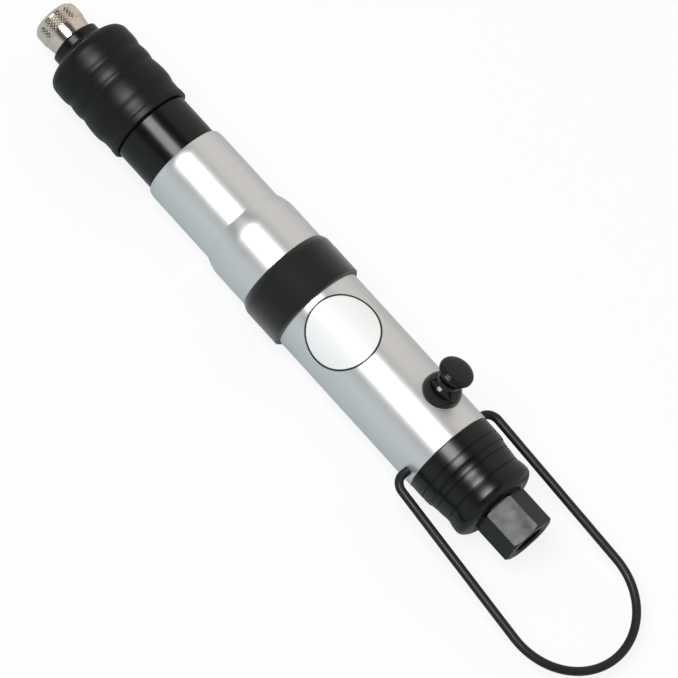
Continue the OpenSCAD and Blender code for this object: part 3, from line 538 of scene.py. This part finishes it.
class Recipe(Tree):
    """A Geometry Nodes tree with named sizes, baked to a plain mesh."""

    def __init__(self, name, sizes):
        super().__init__(bpy.data.node_groups.new(name, "GeometryNodeTree"))
        face = self.tree.interface
        face.new_socket("Geometry", in_out="INPUT", socket_type="NodeSocketGeometry")
        for label, value in sizes.items():
            kind = "NodeSocketInt" if isinstance(value, int) else "NodeSocketFloat"
            face.new_socket(label, in_out="INPUT", socket_type=kind)
        face.new_socket("Geometry", in_out="OUTPUT", socket_type="NodeSocketGeometry")
        self.sizes = sizes
        self.inputs = {socket.name: Val(self, socket)
                       for socket in self.add("NodeGroupInput").outputs}

    def round_wire(self, line):
        """A round wire along a curve, of the sizes named Wire radius and Sides."""
        ring = self.node("GeometryNodeCurvePrimitiveCircle", {"mode": "RADIUS"},
                         {"Resolution": self.inputs["Sides"],
                          "Radius": self.inputs["Wire radius"]})
        return self.node("GeometryNodeCurveToMesh", None,
                         {"Curve": line, "Profile Curve": ring, "Fill Caps": True})

    def bake(self, geometry, finish, source=None):
        """Realizes the tree's geometry, gives it its material and returns a plain mesh."""
        real = self.node("GeometryNodeRealizeInstances", None, {0: geometry})
        dressed = self.node("GeometryNodeSetMaterial", None,
                            {"Geometry": real, "Material": FINISHES[finish]})
        self.add("NodeGroupOutput", None, {0: dressed})
        carrier = linked("carrier", source or bpy.data.meshes.new("carrier"))
        recipe = carrier.modifiers.new("recipe", "NODES")
        recipe.node_group = self.tree
        for item in self.tree.interface.items_tree:
            if item.in_out == "INPUT" and item.name in self.sizes:
                recipe[item.identifier] = self.sizes[item.name]
        return evaluated(carrier)


# Outer shells, from the bit end to the air inlet

def collar():
    """Quick-change collar, its band turned down by the depth of the knurl."""
    end = rear("bit_collar")
    band_end = 7.3 * MM
    skirt_x = band_end + 0.6 * MM
    chamfer = 1.6 * MM
    base_r = COLLAR_R - KNURL_DEPTH
    groove_r = COLLAR_R - 0.65 * MM
    skirt_r = COLLAR_R - 0.35 * MM
    end_r = COLLAR_R - 0.95 * MM
    mouth_r = 7.2 * MM
    hold_r = 5.65 * MM
    free_r = 6.3 * MM
    hold_x = 6.62 * MM
    hold_end = 10.35 * MM
    free_x = 11 * MM
    outline = [
        (COLLAR_X, mouth_r), (COLLAR_X, COLLAR_R - chamfer, 0.3 * MM),
        (COLLAR_X + chamfer - KNURL_DEPTH, base_r, 0.15 * MM), (band_end - 0.2 * MM, base_r, 0),
        (band_end, groove_r, 0.1 * MM), (skirt_x, groove_r, 0.1 * MM),
        (skirt_x, skirt_r, 0.15 * MM), (end, end_r, 0.4 * MM), (end, free_r),
        (free_x, free_r), (hold_end, hold_r), (hold_x, hold_r), (hold_x, mouth_r)]
    piece("quick_collar", lathe(eased(outline, 0.12 * MM)), "nickel", "collar", ["bit_collar"])


def collar_knurl():
    """Diamond knurl: rows of small pyramids, each row half a tooth on from the last."""
    tip = 0.12 * MM
    r = Recipe("diamond_knurl", {
        "Teeth": 40, "Rows": 7, "Start": 2.28 * MM, "Radius": COLLAR_R - KNURL_DEPTH,
        "Height": KNURL_DEPTH, "Half width": 0.68 * MM})
    teeth, half_width, base_r = (r.inputs[name] for name in ("Teeth", "Half width", "Radius"))
    line = r.node("GeometryNodeMeshLine", None, {"Count": teeth * r.inputs["Rows"]})
    index = r.node("GeometryNodeInputIndex")
    row = r.math("FLOOR", index / teeth)
    angle = (r.math("MODULO", index, teeth) + row * 0.5) * (TAU / teeth)
    spot = r.node("ShaderNodeCombineXYZ", None, {
        0: r.inputs["Start"] + row * half_width,
        1: base_r * r.math("SINE", angle),
        2: base_r * r.math("COSINE", angle)})
    points = r.node("GeometryNodeSetPosition", None, {"Geometry": line, "Position": spot})
    tooth = r.node("GeometryNodeMeshCone", {"fill_type": "NGON"}, {
        "Vertices": 4, "Side Segments": 1, "Radius Top": tip, "Radius Bottom": half_width,
        "Depth": r.inputs["Height"]})
    turn = r.node("ShaderNodeCombineXYZ", None, {0: angle * -1.0})
    teeth_round = r.node("GeometryNodeInstanceOnPoints", None,
                         {"Points": points, "Instance": tooth, "Rotation": turn})
    piece("collar_knurl", r.bake(teeth_round, "nickel"), "nickel", "collar", sharp=10)


def torque_sleeve():
    """Moulded adjusting sleeve: three soft swells, a flat waist and a raised rear lip."""
    length = SLEEVE_END - SLEEVE_X
    # Shares of the length and of the largest radius
    profile = [
        (0, 0.72), (0.008, 0.81), (0.036, 0.914), (0.07, 0.966), (0.1, 0.99), (0.15, 0.997),
        (0.22, 1), (0.27, 0.992), (0.321, 0.968), (0.37, 0.982), (0.43, 0.991), (0.475, 0.981),
        (0.517, 0.964), (0.59, 0.988), (0.672, 1), (0.75, 0.995), (0.82, 0.96), (0.9, 0.954)]
    skin = smooth_run([(SLEEVE_X + a * length, b * SLEEVE_R) for a, b in profile])
    bore = radius("sleeve_bush") + 0.04 * MM
    mouth_r = 10.7 * MM
    mouth_end = SLEEVE_X + 3.8 * MM
    lip_x = SLEEVE_X + 0.925 * length
    lip_r = 0.967 * SLEEVE_R
    outline = [(SLEEVE_X, mouth_r)] + skin + [
        (lip_x, skin[-1][1], 0.4 * MM), (lip_x + 0.3 * MM, lip_r, 0.3 * MM),
        (SLEEVE_END, lip_r, 0.5 * MM), (SLEEVE_END, bore), (mouth_end, bore),
        (mouth_end, mouth_r)]
    piece("adjusting_sleeve", lathe(eased(outline, EDGE)), "black_matte", "torque_sleeve",
          ["torque_sleeve"])


def clutch_tube():
    """Clutch tube: rounded nose boss, slotted core under the sleeve, bare rear and spigot."""
    pocket_r = 8.6 * MM
    boss_r = 9.8 * MM
    boss_end = SLEEVE_X - 1.8 * MM
    step_r = 10.4 * MM
    step_x = SLEEVE_X - 0.9 * MM
    core_r = 11.5 * MM
    core_x = SLEEVE_X + 4.1 * MM
    shelf = SLEEVE_END + 0.3 * MM
    face = TUBE_END - SEAM
    spigot_r = 14.57 * MM
    spigot_end = rear("clutch_tube")
    bore = 9.2 * MM
    bush_r = radius("nose_bush") + SEAM
    bush_x = front("nose_bush")
    bush_end = rear("nose_bush")
    lip_r = radius("bit_holder") + 0.3 * MM
    lip_x = bush_x - 0.5 * MM
    outline = [
        (NOSE_X, pocket_r, 0.2 * MM), (NOSE_X, boss_r, 0.9 * MM), (boss_end, boss_r, 0.5 * MM),
        (step_x, step_r, 0.5 * MM), (core_x, step_r), (core_x, core_r), (shelf, core_r),
        (shelf, TUBE_R, 0.4 * MM), (face, TUBE_R, 0.15 * MM), (face, spigot_r, 0),
        (spigot_end, spigot_r), (spigot_end, bore), (bush_end, bore), (bush_end, bush_r, 0),
        (bush_x, bush_r, 0), (bush_x, lip_r), (lip_x, lip_r), (lip_x, pocket_r)]

    slots = 3
    slot_x = (front("spring_seat") + rear("spring_seat")) / 2
    slot_reach = 14 * MM
    travel = 6 * MM
    half = 1.8 * MM
    arc = [math.pi / 2 + a for a in angles(12, math.pi)]
    stadium = ([(half * math.cos(a), half * math.sin(a)) for a in arc]
               + [(travel - half * math.cos(a), -half * math.sin(a)) for a in arc])
    cuts = []
    for k in range(slots):
        place = Matrix.Rotation(TAU * k / slots, 4, "X") @ Matrix.Translation((slot_x, 0, 0))
        cuts.append(("DIFFERENCE", prism(stadium, place, slot_reach)))
    piece("clutch_barrel", shaped(lathe(eased(outline, EDGE)), *cuts), "black_satin",
          "tool_body", ["clutch_tube"])


def gear_housing():
    """Turned front housing: rounded front edge, plain barrel, swelling up to the coupling."""
    bore = 14.6 * MM
    barrel_r = 16.75 * MM
    edge_r = TUBE_R + 0.6 * MM
    edge_len = 3.7 * MM
    swell_len = 7.2 * MM
    swell_end = GEAR_END - 15.03 * MM
    swell_steps = 20
    face = GEAR_END - SEAM
    spigot_r = 17.37 * MM
    spigot_end = rear("gear_housing")
    outline = [(TUBE_END, bore, EDGE)]
    outline += [(TUBE_END + edge_len * (1 - math.cos(a)),
                 edge_r + (barrel_r - edge_r) * math.sin(a), 0) for a in angles(10)]
    outline += [(swell_end - swell_len * (1 - t),
                 barrel_r + (SHOULDER_R - barrel_r) * math.sin(math.pi / 2 * t), 0)
                for t in (k / swell_steps for k in range(swell_steps + 1))]
    outline += [(face, SHOULDER_R, EDGE), (face, spigot_r, 0), (spigot_end, spigot_r, EDGE),
                (spigot_end, bore, EDGE)]
    piece("front_housing", lathe(eased(outline, EDGE)), "satin_aluminium", "tool_body",
          ["gear_housing"])


def coupling():
    """Black coupling ring with a rounded brow in front and a chamfer behind."""
    bore = 17.4 * MM
    chamfer = 0.7 * MM
    brow = 3.2 * MM
    brow_steps = 12
    low = SHOULDER_R + 0.15 * MM
    outline = [(GEAR_END, bore, EDGE)]
    outline += [(GEAR_END + brow * k / brow_steps, low + (COUPLING_R - low) * math.sin(a), 0)
                for k, a in enumerate(angles(brow_steps))]
    outline += [(COUPLING_END - chamfer, COUPLING_R), (COUPLING_END, COUPLING_R - chamfer),
                (COUPLING_END, bore)]
    piece("coupling_band", lathe(eased(outline, 0.35 * MM)), "ring_black", "tool_body",
          ["coupling_ring"])


def motor_housing():
    """Turned motor housing, bored for the button bush and for the ends of the bail."""
    start = front("motor_housing")
    face = COUPLING_END + SEAM
    spigot_r = 17.37 * MM
    bore = 15.6 * MM
    bush_hole = 6.23 * MM
    bush_from, bush_to = 5 * MM, 30 * MM
    bail_hole = 1.70 * MM
    outline = [(start, bore), (start, spigot_r, EDGE), (face, spigot_r, 0),
               (face, MOTOR_R, EDGE), (MOTOR_END, MOTOR_R, EDGE), (MOTOR_END, bore)]
    button = Vector((BUTTON_X, 0, 0))
    bail = Vector((BAIL_X, 0, 0))
    across = Vector((0, 2 * MOTOR_R, 0))
    mesh = shaped(
        lathe(eased(outline, EDGE)),
        ("DIFFERENCE", rod(bush_hole, button + BUTTON_OUT * bush_from,
                           button + BUTTON_OUT * bush_to)),
        ("DIFFERENCE", rod(bail_hole, bail - across, bail + across)))
    piece("motor_barrel", mesh, "satin_aluminium", "tool_body", ["motor_housing"])


def rear_cap():
    """Rear cap: front band, waist and bulge, with four narrow turned grooves."""
    length = CAP_END - MOTOR_END
    # Shares of the length and of the largest radius
    profile = [
        (0, 1), (0.24, 1), (0.33, 0.993), (0.37, 0.98), (0.41, 0.961), (0.48, 0.949),
        (0.55, 0.94), (0.64, 0.924), (0.7, 0.93), (0.76, 0.947), (0.82, 0.957), (0.87, 0.955),
        (0.92, 0.915), (0.97, 0.81), (1, 0.68)]
    skin = smooth_run([(MOTOR_END + a * length, b * CAP_R) for a, b in profile])
    groove_w = 0.8 * MM
    groove_d = 0.4 * MM
    groove_ease = 0.08 * MM
    closest = 0.1 * MM

    def skin_radius(x):
        for p, q in zip(skin, skin[1:]):
            if p[0] <= x <= q[0]:
                return p[1] + (q[1] - p[1]) * (x - p[0]) / (q[0] - p[0])

    face = MOTOR_END + SEAM
    outline = [(face, skin[0][1], 0.3 * MM)]
    grooves = [MOTOR_END + share * length for share in (0.236, 0.378, 0.482, 0.69)]
    for point in skin[1:]:
        while grooves and point[0] > grooves[0] - groove_w:
            x = grooves.pop(0)
            for at, drop in ((x - groove_w / 2, 0), (x - groove_w / 4, groove_d),
                             (x + groove_w / 4, groove_d), (x + groove_w / 2, 0)):
                outline.append((at, skin_radius(at) - drop, groove_ease))
        if point[0] > outline[-1][0] + closest:
            outline.append(point)

    stem_r = 9.03 * MM
    stem_x = CAP_END - 8 * MM
    passage_r = 6.2 * MM
    seat_r = radius("throttle_seat") + SEAM
    seat_x = front("throttle_seat")
    seat_end = rear("throttle_seat")
    chamber_r = 9.4 * MM
    chamber_end = rear("exhaust_muffler")
    muffler_r = 13.3 * MM
    spigot_r = 15.57 * MM
    spigot_x = front("rear_cap")
    outline += [
        (CAP_END, stem_r, 0.1 * MM), (stem_x, stem_r), (stem_x, passage_r),
        (seat_end, passage_r), (seat_end, seat_r, 0), (seat_x, seat_r, 0),
        (seat_x, chamber_r, 0), (chamber_end, chamber_r, 0), (chamber_end, muffler_r, 0),
        (spigot_x, muffler_r), (spigot_x, spigot_r), (face, spigot_r, 0)]
    piece("rear_cover", lathe(eased(outline, EDGE)), "cap_black", "tool_body", ["rear_cap"],
          sharp=50)


def inlet():
    """Hexagon air inlet with turned corners, rounded edges, a stem and its bore."""
    spare = 1 * MM
    rounding = 0.16 * MM
    corner = 2 * NODES["inlet_bushing"][1].y / math.sqrt(3)
    chamfer = 1.1 * MM
    drop = chamfer * math.tan(math.radians(30))
    blank = [(CAP_END, 0), (CAP_END, corner - chamfer), (CAP_END + drop, corner),
             (HEX_END - drop, corner), (HEX_END, corner - chamfer), (HEX_END, 0)]
    hexagon = [(corner * math.cos(a), corner * math.sin(a)) for a in angles(6, TAU)[:-1]]
    lay = Matrix.Translation((CAP_END - spare, 0, 0)) @ Matrix.Rotation(math.pi / 2, 4, "Y")
    bar = prism(hexagon, lay, HEX_END - CAP_END + 2 * spare)
    head = bevelled(shaped(lathe(blank), ("INTERSECT", bar)), rounding)

    start = front("inlet_bushing")
    stem_r = 9 * MM
    stem_end = CAP_END + spare
    stem = lathe(eased([(start, 0, 0), (start, stem_r), (stem_end, stem_r, 0),
                        (stem_end, 0, 0)], EDGE))

    way_r = 4.2 * MM
    way_end = HEX_END - 12.8 * MM
    relief_r = 5.03 * MM
    relief_end = HEX_END - 12 * MM
    bore = 5.9 * MM
    mouth = 0.55 * MM
    past = 0.3 * MM
    bores = lathe([
        (start - spare, 0), (start - spare, way_r), (way_end, way_r), (way_end, relief_r),
        (relief_end, relief_r), (relief_end, bore), (HEX_END - mouth, bore),
        (HEX_END + past, bore + mouth + past), (HEX_END + past, 0)])
    piece("inlet_hexagon", shaped(head, ("UNION", stem), ("DIFFERENCE", bores)), "black_oxide",
          "tool_body", ["inlet_bushing"], sharp=8)


# Thread and springs

def wound_wire(name, turns, length, mean_r, wire, start, sides, steps, finish):
    """A round wire wound right-handed along the axis, from its start station."""
    r = Recipe(name, {
        "Turns": float(turns), "Length": length, "Mean radius": mean_r, "Wire radius": wire,
        "Start": start, "Sides": sides, "Steps in a turn": steps})
    helix = r.node("GeometryNodeCurveSpiral", None, {
        "Resolution": r.inputs["Steps in a turn"], "Rotations": r.inputs["Turns"],
        "Start Radius": r.inputs["Mean radius"], "End Radius": r.inputs["Mean radius"],
        "Height": r.inputs["Length"], "Reverse": True})
    spot = r.node("ShaderNodeCombineXYZ", None, {0: r.inputs["Start"]})
    laid = r.node("GeometryNodeTransform", None, {
        "Geometry": r.round_wire(helix), "Translation": spot, "Rotation": (0, math.pi / 2, 0)})
    return r.bake(laid, finish)


def inlet_thread():
    """Pipe thread inside the inlet, one ridge wound along a helix."""
    pitch = 1.337 * MM
    length = 10.4 * MM
    mesh = wound_wire("pipe_thread", length / pitch, length, mean_r=5.83 * MM, wire=0.36 * MM,
                      start=HEX_END - 11.4 * MM, sides=6, steps=72, finish="black_oxide")
    piece("inlet_thread", mesh, "black_oxide", "tool_body", sharp=70)


def coil_spring(node, body, turns, wire, start, end, mean_r, fixed, place=None):
    """A compression spring wound between two stations and put in place on its body."""
    mesh = wound_wire(node, turns, end - start - 2 * wire, mean_r, wire, start + wire,
                      sides=12, steps=40, finish="steel")
    axis = AXIS
    anchor = axis * fixed
    if place:
        moved(mesh, place)
        axis = place.to_3x3() @ axis
        anchor = place @ anchor
    spring = piece(node + "_wire", mesh, "steel", body, [node], sharp=70)
    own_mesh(spring)


def springs():
    """The four springs, each between the faces that its CAD solid touches."""
    for node, body, turns, wire, joint, travel, at_rear in (
            ("clutch_spring", "tool_body", 6, 0.6 * MM, "torque_turn", 6 * MM, True),
            ("collar_spring", "spindle", 3, 0.3 * MM, "collar_pull", 2.5 * MM, False),
            ("throttle_spring", "tool_body", 5, 0.4 * MM, "bit_push", 1.8 * MM, True)):
        low, high = NODES[node]
        coil_spring(node, body, turns, wire, low.x, high.x, high.z - wire,
                    high.x if at_rear else low.x)
    foot = 4.2 * MM
    coil_spring("button_spring", "tool_body", turns=4, wire=0.35 * MM, start=foot, end=9 * MM,
                mean_r=3.4 * MM, fixed=foot,
                place=AT_BUTTON)


# Bail

def bail_path():
    """Middle of the bail wire, from one inner end round to the other."""
    side_w = MOTOR_R + 7 * MM
    end_r = 27 * MM
    reach = 98 * MM
    bend = 5 * MM
    tip = 15.9 * MM
    droop = math.radians(6.5)
    end_x = reach - end_r
    splay = math.asin(end_r / math.hypot(side_w, end_x)) - math.atan2(side_w, end_x)
    turn = math.pi / 2 - splay
    shoulder = side_w - bend * math.tan(turn / 2)
    loop = math.pi / 2 + splay
    tip_steps, bend_steps, side_steps, loop_steps = 6, 12, 24, 32
    half = [(0, tip + (shoulder - tip) * k / tip_steps) for k in range(tip_steps)]
    half += [(bend + bend * math.cos(math.pi - a), shoulder + bend * math.sin(math.pi - a))
             for a in angles(bend_steps, turn)]
    x0, y0 = half[-1]
    x1, y1 = end_x + end_r * math.cos(loop), end_r * math.sin(loop)
    half += [(x0 + (x1 - x0) * k / side_steps, y0 + (y1 - y0) * k / side_steps)
             for k in range(1, side_steps)]
    half += [(end_x + end_r * math.cos(loop - a), end_r * math.sin(loop - a))
             for a in angles(loop_steps, loop)]
    path = half + [(x, -y) for x, y in reversed(half[:-1])]
    return [Vector((BAIL_X + x * math.cos(droop), y, -x * math.sin(droop))) for x, y in path]


def hanging_bail():
    """Bail of round wire, swept along its path."""
    curve = bpy.data.curves.new("bail_line", "CURVE")
    curve.dimensions = "3D"
    spline = curve.splines.new("POLY")
    path = bail_path()
    spline.points.add(len(path) - 1)
    for point, at in zip(spline.points, path):
        point.co = (*at, 1)
    r = Recipe("bent_wire", {"Wire radius": 1.65 * MM, "Sides": 32})
    wire = r.round_wire(r.inputs["Geometry"])
    piece("hanging_bail", r.bake(wire, "bail_black", curve), "bail_black", "bail", ["bail"])


# Button

def button_bush():
    """Dome that guides the button: a ball seated on the housing, with a stem through its wall."""
    ball = 7.4 * MM
    low = 6 * MM
    top = 5.6 * MM
    neck = 4.74 * MM
    stem = 6.2 * MM
    stem_foot = 7.4 * MM
    way_foot, way_top = 2 * MM, 40 * MM
    skin_half = 12 * MM
    segments = 96
    first, last = -math.asin(low / ball), math.asin(top / ball)
    outline = [(MOTOR_R - low, 0), (MOTOR_R - low, ball * math.cos(first))]
    outline += [(MOTOR_R + ball * math.sin(first + a), ball * math.cos(first + a))
                for a in angles(30, last - first, first=1)]
    outline.append((MOTOR_R + top, 0))
    dome = moved(lathe(outline, segments), AT_BUTTON)
    axis = Vector((BUTTON_X, 0, 0))
    skin = rod(MOTOR_R + SEAM, axis - AXIS * skin_half, axis + AXIS * skin_half, 160)
    post = rod(stem, axis + BUTTON_OUT * stem_foot, axis + BUTTON_OUT * (MOTOR_R + top / 2),
               segments)
    way = rod(neck, axis + BUTTON_OUT * way_foot, axis + BUTTON_OUT * way_top, segments)
    mesh = shaped(dome, ("DIFFERENCE", skin), ("UNION", post), ("DIFFERENCE", way))
    piece("button_dome", mesh, "black_gloss", "tool_body", ["button_bush"], sharp=30)


def reverse_button():
    """Mushroom button: neck, undercut, thick rim and a low crown."""
    neck = 4.7 * MM
    foot = 9 * MM
    head = 6.7 * MM
    rim = 0.9 * MM
    under = MOTOR_R + 7.7 * MM
    edge = MOTOR_R + 12 * MM
    crown = MOTOR_R + 14 * MM
    outline = [(foot, 0, 0), (foot, neck), (under, neck, 0.5 * MM),
               (edge - rim / 2, head, 0.3 * MM)]
    outline += [(edge + rim * math.sin(a), head - rim + rim * math.cos(a), 0)
                for a in angles(8, first=1)]
    outline += [(edge + rim + (crown - edge - rim) * math.sin(a), (head - rim) * math.cos(a), 0)
                for a in angles(16, first=1)[:-1]]
    outline.append((crown, 0, 0))
    mesh = moved(lathe(eased(outline, EDGE), segments=96), AT_BUTTON)
    piece("mushroom_button", mesh, "black_gloss", "reverse_button", ["reverse_button"])


# Label

LABEL_X = 162.3 * MM
LABEL_TURN = math.radians(-28.5)
LABEL_HALF_LENGTH = 13.9 * MM
LABEL_HALF_TURN = math.radians(50)
# From 0, a round disc pressed down on the housing, to 1, an oval cut flat and rolled round it
LABEL_ROLLED_SHARE = 0.3


def label_point(reach, turn, r):
    """A point of the label, at a share of the way out and a turn round its middle."""
    across = reach * math.cos(turn)
    rolled = LABEL_HALF_TURN * across
    pressed = math.asin(math.sin(LABEL_HALF_TURN) * across)
    return around(LABEL_X + LABEL_HALF_LENGTH * reach * math.sin(turn), r,
                  LABEL_TURN + pressed + (rolled - pressed) * LABEL_ROLLED_SHARE)


def label_sheet(name, inner, outer, low, high, finish):
    """A thin sheet, or a ring, that follows the motor housing between two radii."""
    steps, segments = 14, 120
    bm = bmesh.new()

    def ring(share, r):
        reach = inner + (outer - inner) * share
        if reach == 0:
            return [bm.verts.new(label_point(0, 0, r))] * segments
        return [bm.verts.new(label_point(reach, TAU * k / segments, r)) for k in range(segments)]

    top, bottom = ([ring(i / steps, r) for i in range(steps + 1)] for r in (high, low))
    for rings in (top, bottom):
        for a, b in zip(rings, rings[1:]):
            band(bm, a, b)
    rims = (0, -1) if inner else (-1,)
    for i in rims:
        band(bm, top[i], bottom[i])
    piece(name, outward_mesh(bm, name), finish, "tool_body")


def label():
    """The white disc and its thin dark border, which laps over it and stands a little higher."""
    low = MOTOR_R + 0.01 * MM
    top = MOTOR_R + 0.10 * MM
    border_top = MOTOR_R + 0.12 * MM
    label_sheet("round_label", 0, 0.955, low, top, "label_white")
    label_sheet("label_border", 0.95, 1, low, border_top, "label_edge")


label()
torque_sleeve()
gear_housing()
coupling()
motor_housing()
clutch_tube()
collar()
collar_knurl()
rear_cap()
inlet()
inlet_thread()
hanging_bail()
button_bush()
reverse_button()
springs()


# Floor, light and camera

# The camera's turn round the tool's axis and its tilt towards the rear end
CAM_FACING = math.radians(32)
CAM_PITCH = math.radians(11)
FACING = Vector((0, -math.sin(CAM_FACING), math.cos(CAM_FACING)))
SIDE = Vector((0, math.cos(CAM_FACING), math.sin(CAM_FACING)))
LOOK = FACING * math.cos(CAM_PITCH) + AXIS * math.sin(CAM_PITCH)
ALONG = (AXIS - LOOK * math.sin(CAM_PITCH)) / math.cos(CAM_PITCH)
# Direction of the tool's axis on the picture, across and down
ACROSS, DOWN = 0.67345, 0.73924


def standing(axes, spot):
    """The matrix that gives an object these axes and this place."""
    place = Matrix(axes).transposed().to_4x4()
    place.translation = spot
    return place


def camera():
    distance = 2.0
    view_w = 243.6 * MM
    middle_x = 160.0 * MM
    aside = 1.7 * MM
    target = AXIS * middle_x - SIDE * aside
    right = ALONG * ACROSS + SIDE * DOWN
    up = SIDE * ACROSS - ALONG * DOWN
    data = bpy.data.cameras.new("camera")
    data.sensor_width = 36
    data.lens = data.sensor_width * distance / view_w
    data.clip_start = 0.1
    data.clip_end = 20
    view = linked("camera", data)
    view.matrix_world = standing((right, up, LOOK), target + LOOK * distance)
    bpy.context.scene.camera = view


# Where the light stands round the tool's axis, in degrees from the camera's facing
LIGHT_ROLL = 3


def strip_light():
    """The soft box that draws the bright strip along the tool."""
    lean = math.radians(-6)
    half_width = math.radians(13)
    half_height = math.radians(12)
    distance = 2.4
    width = 2 * distance * math.tan(half_width)
    height = 2 * distance * math.tan(half_height)
    middle_x = 159.5 * MM
    radiance = 12.0
    data = bpy.data.lights.new("strip_light", "AREA")
    data.shape = "RECTANGLE"
    data.size = width
    data.size_y = height
    data.energy = radiance * math.pi * width * height
    light = linked("strip_light", data)
    z = (FACING * math.cos(lean) + AXIS * math.sin(lean)
         + SIDE * math.sin(math.radians(LIGHT_ROLL))).normalized()
    x = AXIS.cross(z).normalized()
    light.matrix_world = standing((x, z.cross(x), z), AXIS * middle_x + z * distance)
    light.visible_camera = False


def studio():
    """The grey room that the tool reflects, with a dark flag on each side of the light."""
    cool, warm = (0.45, 0.505, 0.53, 1), (0.61, 0.585, 0.55, 1)
    dark, dark_share = (0.030, 0.020, 0.012, 1), 0.95
    world = bpy.data.worlds.new("studio")
    f = Finish(world, "Generated")
    turn = (f.math("ARCTAN2", f.toward(SIDE), f.toward(FACING)) * (180 / math.pi)
            - LIGHT_ROLL)
    # Degrees away from the light, to either side
    off = f.math("ABSOLUTE", turn)
    flag = off.ramp(14, 18) * (1 - off.ramp(34, 52))
    room = f.mix(flag * dark_share, f.mix(turn.ramp(-60, 80), cool, warm), dark)
    seen = f.node("ShaderNodeLightPath", out="Is Camera Ray")
    back = f.node("ShaderNodeBackground", None,
                  {"Color": f.mix(seen, room, grey(1.0)), "Strength": 1.0})
    f.add("ShaderNodeOutputWorld", None, {0: back})
    bpy.context.scene.world = world


def floor():
    """A pale floor under the tool, plain white to the camera but for the tool's shadow."""
    bounce = (0.47, 0.53, 0.55, 1)
    glow_share = 0.85
    half = 3.0
    low = min(lo.z for lo, hi in NODES.values())
    mesh = bpy.data.meshes.new("floor")
    mesh.from_pydata([(-half, -half, low), (half, -half, low), (half, half, low),
                      (-half, half, low)], [], [(0, 1, 2, 3)])
    f = Finish(bpy.data.materials.new("floor_finish"))
    seen = f.node("ShaderNodeLightPath", out="Is Camera Ray")
    matt = f.node("ShaderNodeBsdfDiffuse", None, {"Color": f.mix(seen, bounce, grey(0.94))})
    glow = f.node("ShaderNodeEmission", None, {"Color": grey(1.0), "Strength": 1.0})
    blend = f.node("ShaderNodeMixShader", None, {0: seen * glow_share, 1: matt, 2: glow})
    f.add("ShaderNodeOutputMaterial", None, {0: blend})
    mesh.materials.append(f.owner)
    linked("floor", mesh)


camera()
strip_light()
studio()
floor()
bpy.context.scene.view_settings.view_transform = "Standard"
